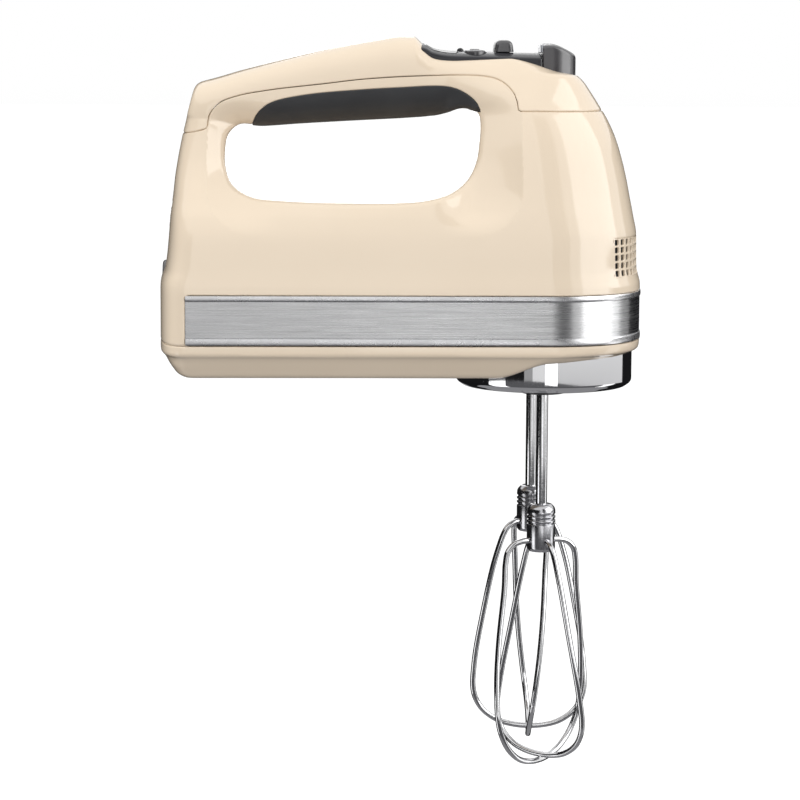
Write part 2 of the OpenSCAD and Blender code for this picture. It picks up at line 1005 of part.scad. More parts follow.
module upper_spindle_bushes() {
    color([0.7, 0.55, 0.3])
        at_beaters()
            translate([0, 0, 28])
                difference() {
                    cylinder(h = 6, r = 6.5);
                    translate([0, 0, -1])
                        cylinder(h = 8, r = spindle_r + running_gap);
                }
}

frame_posts = [[144, -13], [144, 13], [175, -13], [175, 13]];
// Plan of half of the bridge, narrowed towards the nose
bridge_half = [[139.5, 0], [139.5, 28], [148, 34], [169, 34], [179.5, 20], [179.5, 0]];

// Round base plate with two pedestals for the worm's bearings
module gearbox_base() {
    color([0.6, 0.61, 0.63])
        difference() {
            union() {
                translate([collar_x, 0, base_plate_z])
                    cylinder(h = 3, r = frame_r);
                translate([129.5, -11, base_plate_z])
                    cube([6, 22, 26]);
                x_cylinder(129.5, 135.5, 11);
                translate([178, -8, base_plate_z])
                    cube([6, 16, 26]);
                x_cylinder(178, 184, 8.5);
                for (p = frame_posts)
                    translate([p[0], p[1], base_plate_z])
                        cylinder(h = bridge_z - base_plate_z, r = 3.4);
                at_beaters()
                    translate([0, 0, -19])
                        cylinder(h = 6.5, r = 9);
            }
            x_cylinder(128, 137, 9.5);
            x_cylinder(177, 185, 7);
            at_beaters()
                translate([0, 0, -21])
                    cylinder(h = 10, r = 6.5);
            for (p = frame_posts)
                translate([p[0], p[1], bridge_z - 10])
                    cylinder(h = 11, r = 1.5);
        }
}

module gearbox_bridge() {
    color([0.6, 0.61, 0.63])
        difference() {
            translate([0, 0, bridge_z])
                linear_extrude(3)
                    polygon(concat(bridge_half, backwards([for (p = bridge_half) flip_y(p)])));
            at_beaters()
                translate([0, 0, bridge_z - 1])
                    cylinder(h = 5, r = 6.5);
            for (p = frame_posts)
                translate([p[0], p[1], bridge_z - 1])
                    cylinder(h = 5, r = 1.5);
        }
}

// ---------- electronics and fasteners ----------

module control_board() {
    color([0.1, 0.35, 0.2]) {
        translate([58, -20, 42.4])
            cube([56, 40, 1.6]);
        translate([64, -14, 39])
            cube([14, 10, 3.4]);
        translate([96, 4, 37.5])
            cube([12, 9, 4.9]);
    }
}

module heat_sink() {
    color([0.75, 0.75, 0.77]) {
        translate([84, -14, 44])
            cube([20, 1.5, 4.4]);
        for (k = [0:4])
            translate([84 + 4.2 * k, -12.5, 44])
                cube([1.4, 6, 4.4]);
    }
}

module cross_head_screw(length) {
    difference() {
        union() {
            cylinder(h = length, r = 1.5);
            cylinder(h = 1.8, r = 2.9);
        }
        for (turn = [0, 90])
            rotate([0, 0, turn])
                translate([-1.6, -0.35, -1])
                    cube([3.2, 0.7, 2]);
    }
}

module housing_screws() {
    color(steel)
        for (p = screw_places)
            translate([p[0], p[1], screw_head_z])
                cross_head_screw(20);
}

module gearbox_screws() {
    color(steel)
        for (p = frame_posts)
            translate([p[0], p[1], bridge_z + 4.8])
                rotate([180, 0, 0])
                    cross_head_screw(11);
}

module motor_screws() {
    color(steel)
        for (y = [-1, 1], z = [-1, 1])
            translate([27.2, y * 22.5, drive_z + z * 18.5])
                rotate([0, 90, 0])
                    cross_head_screw(70);
}

// ---------- beaters ----------

ferrule_z1 = -75.5;
ferrule_z0 = -95.6;
ferrule_r = 6;
// Half of a wire's outline, height and distance from the beater's axis, below the shoulders
wire_body = [
    [-111, 17.4], [-134, 21.5], [-148, 23.6], [-157, 24.4], [-165, whisk_r], [-171.5, 23.2],
    [-177.7, 19.6], [-182.6, 13.6], [-184.9, 7], [-185.6, 0]
];
// The first loop leaves the sleeve square, the second slopes down at once
square_knots = concat([[-91, 4.6], [-91.2, 8.6], [-92.4, 12.4], [-95.4, 15.2], [-100, 16.4]], wire_body);
sloped_knots = concat([[-91, 4.6], [-91.5, 8], [-93.6, 11.2], [-97, 13.2], [-101.5, 14.8]], wire_body);
whisk_top = -92;
whisk_wide = -157;

// Smooth curve through the knots
function spline(p0, p1, p2, p3, t) =
    0.5 * (2 * p1 + (p2 - p0) * t + (2 * p0 - 5 * p1 + 4 * p2 - p3) * t * t
        + (3 * p1 - p0 - 3 * p2 + p3) * t * t * t);
function mirrored_knot(knots, i) = let (last = len(knots) - 1)
    i < 0 ? 2 * knots[0] - knots[1] :
    i > last ? [knots[2 * last - i][0], -knots[2 * last - i][1]] :
    knots[i];
steps_per_knot = 2;
function half_wire(knots) = [for (i = [0:len(knots) - 2], s = [0:steps_per_knot - 1])
    spline(mirrored_knot(knots, i - 1), mirrored_knot(knots, i), mirrored_knot(knots, i + 1),
        mirrored_knot(knots, i + 2), s / steps_per_knot)];

function twist_at(z, twist) = twist * (whisk_wide - z) / (whisk_wide - whisk_top);

// One closed-bottom loop: down one side, through the axis and up the other side
function loop_points(knots, turn, twist, lift) = let (half = half_wire(knots), n = len(half)) concat(
    [for (p = half) loop_point(p, 1, turn, twist, lift)],
    [loop_point(knots[len(knots) - 1], 1, turn, twist, lift)],
    [for (i = [n - 1:-1:0]) loop_point(half[i], -1, turn, twist, lift)]
);
function loop_point(p, way, turn, twist, lift) =
    let (a = turn - twist_at(p[0], twist), raise = p[0] < whisk_wide ?
        lift * pow((whisk_wide - p[0]) / 28.6, 2) : 0)
    [way * p[1] * cos(a), way * p[1] * sin(a), p[0] + raise];
function loop_side(z, turn, twist) = let (a = turn - twist_at(z, twist)) [-sin(a), cos(a), 0];
function loop_sides(knots, turn, twist) = let (half = half_wire(knots), n = len(half)) concat(
    [for (p = half) loop_side(p[0], turn, twist)],
    [loop_side(knots[len(knots) - 1][0], turn, twist)],
    [for (i = [n - 1:-1:0]) loop_side(half[i][0], turn, twist)]
);

module beater_shaft(side) {
    color(steel)
        translate([drive_x, side * beater_y, 0]) {
            translate([0, 0, ferrule_z0 + 5])
                cylinder(h = beater_top_z - ferrule_z0 - 5, r = shaft_d / 2);
            for (wing = [0, 180])
                rotate([0, 0, wing])
                    translate([1.5, -0.45, -24])
                        cube([2, 0.9, 9]);
        }
}

// Turned sleeve that grips the wires, with three grooves below its rounded shoulder
module beater_ferrule(side) {
    groove_z = [-78.8, -80.9, -83];
    color([0.62, 0.62, 0.64])
        translate([drive_x, side * beater_y, 0])
            difference() {
                rotate_extrude()
                    polygon([
                        [0, ferrule_z0], [4.6, ferrule_z0], [5.5, ferrule_z0 + 0.5],
                        [ferrule_r, ferrule_z0 + 1.5], [ferrule_r, ferrule_z1 - 2],
                        [5.4, ferrule_z1 - 0.8], [3.6, ferrule_z1], [0, ferrule_z1]
                    ]);
                for (z = groove_z)
                    translate([0, 0, z])
                        difference() {
                            cylinder(h = 0.9, r = ferrule_r + 1);
                            translate([0, 0, -1])
                                cylinder(h = 3, r = ferrule_r - 0.5);
                        }
                translate([0, 0, ferrule_z0 + 5])
                    cylinder(h = 20, r = shaft_d / 2);
            }
}

module beater_wires(side, turn, twist) {
    color([0.82, 0.82, 0.83])
        translate([drive_x, side * beater_y, 0]) {
            rod_along(loop_points(square_knots, turn, twist, 0), loop_sides(square_knots, turn, twist),
                wire_d / 2);
            rod_along(loop_points(sloped_knots, turn + 90, twist, wire_d + 0.1),
                loop_sides(sloped_knots, turn + 90, twist), wire_d / 2);
        }
}

near_turn = 39;
far_turn = 132 - near_turn;

module near_beater_shaft() {
    beater_shaft(-1);
}

module near_beater_ferrule() {
    beater_ferrule(-1);
}

module near_beater_wires() {
    beater_wires(-1, near_turn, whisk_twist);
}

module far_beater_shaft() {
    beater_shaft(1);
}

module far_beater_ferrule() {
    beater_ferrule(1);
}

module far_beater_wires() {
    beater_wires(1, far_turn, -whisk_twist);
}

main_housing();
handle_cover();
bottom_housing();
trim_band();
trim_beads();
collar();
socket_rings();
soft_grip();
control_panel();
display_window();
display_board();
speed_up_button();
speed_down_button();
power_slider();
slider_switch();
eject_button();
eject_button_insert();
eject_rod();
eject_yoke();
eject_spring();
eject_guide();
vent_screen();
cord_swivel();
swivel_housing();
stator_core();
field_coils();
motor_rear_bracket();
brush_holders();
carbon_brushes();
rear_motor_bearing();
front_motor_bearing();
nose_bearing();
armature_shaft();
armature_core();
armature_windings();
commutator();
cooling_fan();
worm();
gearbox_base();
gearbox_bridge();
lower_spindle_bushes();
upper_spindle_bushes();
near_drive_gear();
far_drive_gear();
near_spindle();
far_spindle();
control_board();
heat_sink();
housing_screws();
gearbox_screws();
motor_screws();
near_beater_shaft();
near_beater_ferrule();
near_beater_wires();
far_beater_shaft();
far_beater_ferrule();
far_beater_wires();
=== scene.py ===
"""Hand mixer: the visible pieces, their materials, the light and the camera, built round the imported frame."""

import json
import math

import bmesh
import bpy
import numpy as np
from mathutils import Matrix, Vector


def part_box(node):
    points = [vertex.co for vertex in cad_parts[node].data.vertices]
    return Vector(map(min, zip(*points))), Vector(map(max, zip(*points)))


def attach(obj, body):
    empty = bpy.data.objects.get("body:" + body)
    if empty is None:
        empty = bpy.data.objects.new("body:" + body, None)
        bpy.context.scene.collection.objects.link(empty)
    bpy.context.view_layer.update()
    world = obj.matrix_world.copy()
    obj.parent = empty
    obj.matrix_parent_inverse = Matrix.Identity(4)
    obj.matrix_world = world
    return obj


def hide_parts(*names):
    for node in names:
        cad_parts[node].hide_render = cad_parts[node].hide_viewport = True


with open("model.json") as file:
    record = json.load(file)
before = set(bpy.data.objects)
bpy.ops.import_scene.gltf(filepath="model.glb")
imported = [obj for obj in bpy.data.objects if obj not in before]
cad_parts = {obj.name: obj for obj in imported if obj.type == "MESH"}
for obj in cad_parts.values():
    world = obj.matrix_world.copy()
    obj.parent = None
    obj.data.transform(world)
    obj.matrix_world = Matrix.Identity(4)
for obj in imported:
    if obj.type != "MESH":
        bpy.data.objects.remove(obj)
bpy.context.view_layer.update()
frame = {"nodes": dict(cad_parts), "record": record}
nodes = frame["nodes"]

MM = 0.001


# --- smooth fields of the casing (millimetres)

# A level of the casing: height, rear end, front end, half-widths at the rear and the front,
# length of the rounded rear corners, length of the rounded nose
LEVELS = np.array([
    [-21.8, 7, 192, 34.4, 36, 8, 34],
    [-17, 3.6, 197.2, 37.7, 39.3, 10, 37.5],
    [-13, 1.3, 200.2, 40.6, 42.2, 12, 39.6],
    [-11.9, 0.3, 201.6, 41.9, 43.5, 12, 40.5],
    [-11, 0, 202, 42.3, 43.8, 12, 40.9],
    [-7.4, 0, 202.1, 42.4, 43.9, 12, 41],
    [13, 0, 202.1, 42.4, 43.9, 12, 41],
    [16, 0.1, 202, 42.3, 43.8, 12, 40.8],
    [18.5, 0.5, 201.4, 42, 43.6, 12, 40.5],
    [22.5, 2, 200.5, 41.5, 43.3, 12, 40],
    [29, 3, 200.3, 40.8, 43, 12, 40],
    [36, 3.6, 200.2, 39.8, 42.5, 12, 40],
    [44, 4.2, 198.8, 37, 41.5, 12, 40],
    [52, 5.3, 197.2, 31.5, 40, 12, 40],
    [60, 6.2, 195.6, 26, 38.4, 12, 39.5],
    [68, 7.5, 193.6, 21.8, 36.6, 11, 38.6],
    [76, 9.1, 191.1, 19.2, 34.4, 10.5, 37],
    [84, 11, 187.5, 17.2, 31.6, 9.5, 35],
    [90, 12.1, 183.8, 16, 28.8, 9, 32.5],
    [96, 14.8, 179.9, 14.6, 25.2, 8.5, 26],
    [100, 17, 177, 14, 22.4, 8, 20.5],
    [102.7, 19, 173.6, 13.5, 20.4, 8, 16],
    [104.2, 20, 167.5, 13.2, 19, 8, 14],
    [106.4, 21, 161.4, 13, 16.8, 8, 12],
    [108.4, 22, 156.2, 12.5, 14.8, 8, 10],
    [109.6, 22.5, 153.6, 12.2, 14, 8, 9],
])
NOSE_POWER = 2.08
REAR_POWER = 2.7
# A station along the handle bar: place, underside, top and half-width
STATIONS = np.array([
    [9.5, 68, 97, 7],
    [10.6, 68, 97.3, 9.8],
    [12.4, 68, 97.8, 13],
    [14.4, 68, 98.4, 15.3],
    [17.6, 69, 99.2, 16.8],
    [24, 72, 100.9, 17.3],
    [34, 77, 103.9, 17],
    [50, 80.5, 108.1, 16.5],
    [75, 82.6, 114.1, 16.5],
    [92, 83.6, 117.2, 16.5],
    [100, 84, 118.4, 16.6],
    [105.4, 84.4, 118.4, 16.8],
    [109, 84.6, 115.6, 17],
    [113.5, 85, 111.9, 17.3],
    [118.5, 86.8, 110.6, 17.6],
    [124, 84, 110.2, 18.6],
    [136, 76, 110.1, 21],
    [155.5, 70, 109.4, 24],
])
BAR_POWER = 2.7
# Outline of the hand opening, as side-view points
OPENING = np.array([
    [33.3, 81.6], [28.6, 77.6], [27.3, 70.8], [27.5, 64.4], [30, 57.6], [37.4, 52.7],
    [53.3, 51], [74.4, 50.4], [99.8, 50.6], [110, 51.6], [120.4, 54.6], [127, 59.6],
    [130.8, 66.8], [132.3, 75.7], [132.7, 82.7], [131.9, 86.7], [128, 88.8], [124, 88.9],
    [119.6, 87.2], [112, 84.9], [99.7, 83.8], [74.8, 82.5], [58.3, 81.7], [42.5, 81],
])


def slopes(xs, ys):
    """Slopes of a monotone cubic through the points."""
    h = np.diff(xs)
    d = np.diff(ys) / h
    m = np.zeros_like(ys)
    same = d[:-1] * d[1:] > 0
    w1, w2 = 2 * h[1:] + h[:-1], h[1:] + 2 * h[:-1]
    safe = np.where(same, d[:-1] * d[1:], 1.0)
    m[1:-1] = np.where(same, (w1 + w2) * safe / (w1 * d[1:] + w2 * d[:-1] + 1e-30), 0.0)
    m[0], m[-1] = d[0], d[-1]
    return m


def cubic(xs, ys, ms, x):
    """Value of the piecewise cubic at x, held constant past its ends."""
    x = np.clip(x, xs[0], xs[-1])
    i = np.clip(np.searchsorted(xs, x, side="right") - 1, 0, len(xs) - 2)
    h = xs[i + 1] - xs[i]
    t = (x - xs[i]) / h
    a, b = (1 + 2 * t) * (1 - t) ** 2, t * (1 - t) ** 2
    c, d = t * t * (3 - 2 * t), t * t * (t - 1)
    return a * ys[i] + b * h * ms[i] + c * ys[i + 1] + d * h * ms[i + 1]


def rounded_path(points, steps):
    """A smooth path through points, with a number of steps between each two."""
    p = np.array(points, float)
    p = np.vstack([2 * p[0] - p[1], p, 2 * p[-1] - p[-2]])
    out = []
    for i in range(1, len(p) - 2):
        a, b, c, d = p[i - 1:i + 3]
        # centripetal spacing keeps sharp bends free of loops
        t1 = np.linalg.norm(b - a) ** 0.5
        t2 = t1 + np.linalg.norm(c - b) ** 0.5
        t3 = t2 + np.linalg.norm(d - c) ** 0.5
        for t in np.linspace(t1, t2, steps, endpoint=False):
            a1 = (t1 - t) / t1 * a + t / t1 * b
            a2 = (t2 - t) / (t2 - t1) * b + (t - t1) / (t2 - t1) * c
            a3 = (t3 - t) / (t3 - t2) * c + (t - t2) / (t3 - t2) * d
            b1 = (t2 - t) / t2 * a1 + t / t2 * a2
            b2 = (t3 - t) / (t3 - t1) * a2 + (t - t1) / (t3 - t1) * a3
            out.append((t2 - t) / (t2 - t1) * b1 + (t - t1) / (t2 - t1) * b2)
    out.append(p[-2])
    return np.array(out)


def curves(table):
    """The smooth curves of a table's other columns over its first one."""
    xs = table[:, 0]
    return [(xs, table[:, k], slopes(xs, table[:, k])) for k in range(1, table.shape[1])]


LEVEL_CURVES = curves(LEVELS)
STATION_CURVES = curves(STATIONS)


def step(x, a, b):
    """Rises smoothly from 0 at a to 1 at b."""
    t = np.clip((x - a) / (b - a), 0, 1)
    return t * t * (3 - 2 * t)


def smooth_max(a, b, k):
    """The larger of two fields, with a fillet where they are less than k apart."""
    h = np.maximum(k - np.abs(a - b), 0)
    return np.maximum(a, b) + h * h / (4 * k)


TINY, FAR = 1e-9, 1e9
# Past this x the plan outline follows the nose, before it the rear corners
MIDDLE_X = 100
TOP_Z, BOTTOM_Z, NOSE_RISE = 109.7, -21.8, 6.3


def oval_field(u, v, half_u, half_v, p):
    """Distance to a superellipse; u and v are places as shares of its half-sizes."""
    n = (u ** p + v ** p) ** (1 / p) + TINY
    g = np.sqrt(((v / n) ** (p - 1) / half_v) ** 2 + ((u / n) ** (p - 1) / half_u) ** 2) + TINY
    return (n - 1) / g


def plan_field(x, y, z):
    """Distance to the casing's plan outline at height z, negative inside."""
    xr, xf, wr, wf, rear, nose = (cubic(*c, z) for c in LEVEL_CURVES)
    a, b = xr + rear, xf - nose
    w = wr + (wf - wr) * step(x, 8.0, 168.0) * 0.5 + (wf - wr) * 0.5 * np.clip((x - a) / (b - a), 0, 1)
    ahead = x > MIDDLE_X
    u = np.where(ahead, np.maximum(x - b, 0) / nose, np.maximum(a - x, 0) / rear)
    power = np.where(ahead, NOSE_POWER, REAR_POWER)
    return oval_field(u, np.abs(y) / w, np.where(ahead, nose, rear), w, power)


def loaf_field(x, y, z):
    """The casing without its hand opening, negative inside."""
    f = plan_field(x, y, z)
    fz = (plan_field(x, y, z + 0.4) - plan_field(x, y, z - 0.4)) / 0.8
    f = f / np.sqrt(1 + fz * fz)
    f = smooth_max(f, z - TOP_Z, 2.6)
    bottom = BOTTOM_Z + NOSE_RISE * step(x, 139.0, 161.0)
    return smooth_max(f, bottom - z, 2.0 + 5.0 * step(x, 150.0, 180.0))


def bar_field(x, y, z):
    """The handle bar above the opening, with a sloping rear plane; negative inside."""
    low, high, half_w = (cubic(*c, x) for c in STATION_CURVES)
    mid, half_h = (low + high) / 2, (high - low) / 2
    bar = oval_field(np.abs(z - mid) / half_h, np.abs(y) / half_w, half_h, half_w, BAR_POWER)
    rear = (9.5 + 0.264 * (z - 78.4) - x) * 0.967
    return smooth_max(bar, rear, 3.0)


def to_segment(px, pz, a, b):
    """Distance of side-view points from the line between a and b."""
    d = b - a
    t = np.clip(((px - a[0]) * d[0] + (pz - a[1]) * d[1]) / (d @ d), 0, 1)
    return np.hypot(px - a[0] - t * d[0], pz - a[1] - t * d[1])


def outline_table(points, low, high, cell):
    """Signed distance to a closed side-view outline on a grid, negative inside it."""
    steps = 6
    path = rounded_path(np.vstack([points[-2:], points, points[:2]]), steps)
    path = path[2 * steps:(2 + len(points)) * steps]
    xs, zs = np.arange(low[0], high[0] + cell, cell), np.arange(low[1], high[1] + cell, cell)
    px, pz = [a.ravel() for a in np.meshgrid(xs, zs, indexing="ij")]
    best, crossings = np.full(px.shape, FAR), np.zeros(px.shape, int)
    for a, b in zip(path, np.roll(path, -1, axis=0)):
        best = np.minimum(best, to_segment(px, pz, a, b))
        over = (a[1] > pz) != (b[1] > pz)
        at = a[0] + (pz - a[1]) / np.where(over, b[1] - a[1], 1) * (b[0] - a[0])
        crossings += over & (px < at)
    signed = np.where(crossings % 2 == 1, -best, best)
    return signed.reshape(len(xs), len(zs))


TABLE_LOW, TABLE_CELL = np.array([-8.0, -32.0]), 1.0
OPENING_TABLE = outline_table(OPENING, TABLE_LOW, np.array([212.0, 128.0]), TABLE_CELL)


def opening_field(x, z):
    """Distance outside the hand opening in side view, negative in the opening."""
    x, z = np.broadcast_arrays(x, z)
    u = np.clip((x - TABLE_LOW[0]) / TABLE_CELL, 1.001, OPENING_TABLE.shape[0] - 3.001)
    v = np.clip((z - TABLE_LOW[1]) / TABLE_CELL, 1.001, OPENING_TABLE.shape[1] - 3.001)
    i, j = u.astype(int), v.astype(int)
    total = 0.0
    for a, wa in enumerate(spline_weights(u - i)):
        for b, wb in enumerate(spline_weights(v - j)):
            total = total + wa * wb * OPENING_TABLE[i + a - 1, j + b - 1]
    return total


def spline_weights(t):
    """The four weights of a uniform cubic B-spline."""
    return ((1 - t) ** 3 / 6, (3 * t ** 3 - 6 * t * t + 4) / 6,
            (-3 * t ** 3 + 3 * t * t + 3 * t + 1) / 6, t ** 3 / 6)


def rounded_box(dx, dz, half_x, half_z, r):
    """Signed distance to a rounded rectangle."""
    qx, qz = np.abs(dx) - half_x + r, np.abs(dz) - half_z + r
    return np.hypot(np.maximum(qx, 0), np.maximum(qz, 0)) + np.minimum(np.maximum(qx, qz), 0) - r


# Middle, half-sizes and corner radius of the hollow's outer edge, and its depths at both ends
CREASE_X, CREASE_Z, CREASE_HALF_X, CREASE_HALF_Z, CREASE_R = 84.3, 71.0, 64.6, 34.0, 20.0
REAR_DEPTH, NOSE_DEPTH = 4.8, 7.4


def crease_field(x, y, z):
    """Distance to the outer edge of the hollow round the opening in side view."""
    return rounded_box(x - CREASE_X, z - CREASE_Z, CREASE_HALF_X, CREASE_HALF_Z, CREASE_R)


def scoop_depth(x, z):
    """How far the sides are dished in round the ends of the opening."""
    rear = REAR_DEPTH * (1 - step(x, 30.0, 52.0)) * (1 - step(z, 82.0, 93.0))
    nose = NOSE_DEPTH * step(x, 112.0, 132.0) * (1 - step(z, 86.0, 100.0))
    inside = np.maximum(-crease_field(x, 0, z), 0)
    share = inside / (inside + np.maximum(opening_field(x, z), 0) + 0.01)
    return (rear + nose) * share * step(z, 35.0, 48.0)


def casing_field(x, y, z):
    """The whole casing with its hand opening; negative inside."""
    above = step(z, 62.0, 80.0)
    rear_x = 24.0 - 44.0 * step(z, 80.0, 92.0)
    front_x = 133.5 + 19.0 * step(z, 86.0, 108.0)
    share = above * step(x, rear_x, rear_x + 10.0) * (1 - step(x, 112.0, front_x))
    wide = np.abs(y) + scoop_depth(x, z)
    f = (1 - share) * loaf_field(x, wide, z) + share * bar_field(x, wide, z)
    return smooth_max(f, -opening_field(x, z), 2.2)


def gradient(field, p, h=0.05):
    """Slope of a field at points, from differences over h to each side."""
    g = np.empty_like(p)
    for k in range(3):
        e = np.zeros(3)
        e[k] = h
        a, b = p + e, p - e
        g[:, k] = (field(*a.T) - field(*b.T)) / (2 * h)
    return g


def onto_surface(field, p, rounds):
    """Moves points onto the zero surface of a field, in bounded steps."""
    for _ in range(rounds):
        g = gradient(field, p)
        f = field(*p.T)
        move = f[:, None] * g / np.maximum((g * g).sum(1), 0.2)[:, None]
        p = p - np.clip(move, -1.0, 1.0)
    return p


def normals_at(field, p):
    g = gradient(field, p)
    return g / np.maximum(np.linalg.norm(g, axis=1), TINY)[:, None]


CORNERS = [(a, b, c) for a in (0, 1) for b in (0, 1) for c in (0, 1)]


def mean_crossing(values, cells, cell):
    """Mean place in each cell of the zero crossings on its twelve edges."""
    ci, cj, ck = cells
    total, hits = np.zeros((len(ci), 3)), np.zeros(len(ci))
    for a in CORNERS:
        for k in (k for k in range(3) if not a[k]):
            b = list(a)
            b[k] = 1
            va = values[ci + a[0], cj + a[1], ck + a[2]]
            vb = values[ci + b[0], cj + b[1], ck + b[2]]
            hit = (va < 0) != (vb < 0)
            at = np.tile(np.array(a, float), (len(ci), 1))
            at[:, k] = np.where(hit, va / np.where(hit, va - vb, 1), 0)
            total += np.where(hit[:, None], at, 0)
            hits += hit
    return cell * total / hits[:, None]


def edge_quads(inside, index):
    """A quad of cell points round each grid edge that the surface crosses."""
    n = inside.shape
    quads = []
    for k in range(3):
        u, v = (k + 1) % 3, (k + 2) % 3
        start, end = [slice(None)] * 3, [slice(None)] * 3
        start[k], end[k] = slice(0, n[k] - 1), slice(1, n[k])
        starts = inside[tuple(start)]
        e = np.array(np.nonzero(starts != inside[tuple(end)]))
        e = e[:, (e[u] > 0) & (e[v] > 0) & (e[u] < n[u] - 1) & (e[v] < n[v] - 1)]
        quad = []
        for du, dv in ((1, 1), (0, 1), (0, 0), (1, 0)):
            c = e.copy()
            c[u] -= du
            c[v] -= dv
            quad.append(index[tuple(c)])
        quad = np.stack(quad, 1)
        quads.append(np.where(starts[tuple(e)][:, None], quad, quad[:, ::-1]))
    return np.concatenate(quads)


def surface_net(field, low, high, cell):
    """Quads on the zero surface of a field that is the same on both sides of y = 0."""
    axes = [np.arange(low[k], high[k] + cell, cell) for k in range(3)]
    half = np.arange(cell / 2, high[1] + cell, cell)
    axes[1] = np.concatenate([-half[::-1], half])
    values = field(axes[0][:, None, None], half[None, :, None], axes[2][None, None, :])
    values = np.concatenate([values[:, ::-1], values], axis=1)
    inside = values < 0
    n = inside.shape
    count = sum(inside[a:n[0] - 1 + a, b:n[1] - 1 + b, c:n[2] - 1 + c].astype(np.int8)
                for a, b, c in CORNERS)
    cells = np.nonzero((count > 0) & (count < 8))
    origin = np.stack([axis[i] for axis, i in zip(axes, cells)], 1)
    index = -np.ones(count.shape, int)
    index[cells] = np.arange(len(origin))
    return origin + mean_crossing(values, cells, cell), edge_quads(inside, index)


def relax(points, quads, rounds):
    """Evens the mesh out along the surface."""
    for _ in range(rounds):
        total, count = np.zeros_like(points), np.zeros(len(points))
        for k in range(4):
            a, b = quads[:, k], quads[:, (k + 1) % 4]
            np.add.at(total, a, points[b])
            np.add.at(total, b, points[a])
            np.add.at(count, a, 1)
            np.add.at(count, b, 1)
        points = points + 0.5 * (total / count[:, None] - points)
    return points


def even_net(field, low, high, cell):
    """Points and quads spread evenly over the zero surface of a field."""
    points, quads = surface_net(field, low, high, cell)
    points = relax(onto_surface(field, points, 2), quads, 2)
    return onto_surface(field, points, 2), quads


# --- cutting the casing's surface into pieces

# How near a cutting line points are moved onto it, how far they may move, and what counts as on it
SNAP_REACH, SNAP_LIMIT, ON_LINE = 0.22, 0.6, 0.02
RIM_DEPTH = 2.0


class Skin:
    """A surface as points, their outward normals and polygons."""

    def __init__(self, points, normals, faces):
        self.points = points
        self.normals = normals
        self.faces = faces

    def holding(self, faces):
        """The same points with these polygons."""
        return Skin(self.points, self.normals, faces)

    def trimmed(self):
        """The same surface with only the points that its polygons use."""
        used = sorted({i for f in self.faces for i in f})
        new = {old: k for k, old in enumerate(used)}
        faces = [tuple(new[i] for i in f) for f in self.faces]
        return Skin(self.points[used], self.normals[used], faces)


def snap(skin, scalar, level):
    """Moves points that lie close to a cutting line onto it, along the casing."""
    s = scalar(*skin.points.T) - level
    near = np.nonzero(np.abs(s) < SNAP_REACH)[0]
    p, n = skin.points[near], skin.normals[near]
    g = gradient(scalar, p, 0.02)
    g -= (g * n).sum(1)[:, None] * n
    size = np.maximum((g * g).sum(1), 0.05)
    move = (-s[near] / size)[:, None] * g
    move *= np.minimum(1, SNAP_LIMIT / np.maximum(np.linalg.norm(move, axis=1), TINY))[:, None]
    skin.points = skin.points.copy()
    skin.points[near] = onto_surface(casing_field, p + move, 2)


def cut_polygon(f, sign, crossing):
    """The parts of a polygon above and below a cutting line."""
    up, down = [], []
    for k, a in enumerate(f):
        b = f[(k + 1) % len(f)]
        if sign[a] >= 0:
            up.append(a)
        if sign[a] <= 0:
            down.append(a)
        if sign[a] * sign[b] < 0:
            up.append(crossing(a, b))
            down.append(up[-1])
    return tuple(up), tuple(down)


def split(skin, scalar, level):
    """Cuts the polygons along scalar = level; returns the surfaces above and below it."""
    snap(skin, scalar, level)
    s = scalar(*skin.points.T) - level
    s = np.where(np.abs(s) < ON_LINE, 0.0, s)
    sign = np.sign(s)
    points, extra, made = skin.points, [], {}

    def crossing(a, b):
        key = (min(a, b), max(a, b))
        if key not in made:
            t = s[a] / (s[a] - s[b])
            made[key] = len(points) + len(extra)
            extra.append(points[a] + t * (points[b] - points[a]))
        return made[key]

    above, below = [], []
    for f in skin.faces:
        signs = [sign[i] for i in f]
        if min(signs) >= 0:
            above.append(f)
        elif max(signs) <= 0:
            below.append(f)
        else:
            up, down = cut_polygon(f, sign, crossing)
            above.append(up)
            below.append(down)
    if extra:
        new = onto_surface(casing_field, np.array(extra), 1)
        normals = np.vstack([skin.normals, normals_at(casing_field, new)])
        skin = Skin(np.vstack([points, new]), normals, [])
    return skin.holding(above), skin.holding(below)


def edge_row(skin, scalar, level):
    """Adds a row of points along scalar = level and keeps both sides."""
    above, below = split(skin, scalar, level)
    return above.holding(above.faces + below.faces)


def boundary(faces):
    """Directed edges that only one polygon uses."""
    edges = dict.fromkeys((a, f[(k + 1) % len(f)]) for f in faces for k, a in enumerate(f))
    return [(a, b) for a, b in edges if (b, a) not in edges]


def with_rim(skin, lower):
    """Rounds the open edges over a little and turns them inwards; returns the rim's points too."""
    edges = boundary(skin.faces)
    rim = sorted({i for e in edges for i in e})
    points = skin.points.copy()
    points[rim] -= lower * skin.normals[rim]
    inner = points[rim] - RIM_DEPTH * skin.normals[rim]
    new = {old: len(points) + k for k, old in enumerate(rim)}
    faces = skin.faces + [(b, a, new[a], new[b]) for a, b in edges]
    normals = np.vstack([skin.normals, skin.normals[rim]])
    return Skin(np.vstack([points, inner]), normals, faces), set(rim)


def polyline_field(points):
    """Signed distance to a side-view line that runs towards +X, positive above it."""
    path = rounded_path(points, 5)

    def scalar(x, y, z):
        px, pz = np.ravel(x), np.ravel(z)
        best = np.full(px.shape, FAR)
        for a, b in zip(path[:-1], path[1:]):
            best = np.minimum(best, to_segment(px, pz, a, b))
        height = np.interp(px, path[:, 0], path[:, 1])
        return (np.sign(pz - height) * best).reshape(np.shape(x))

    return scalar


# --- making objects


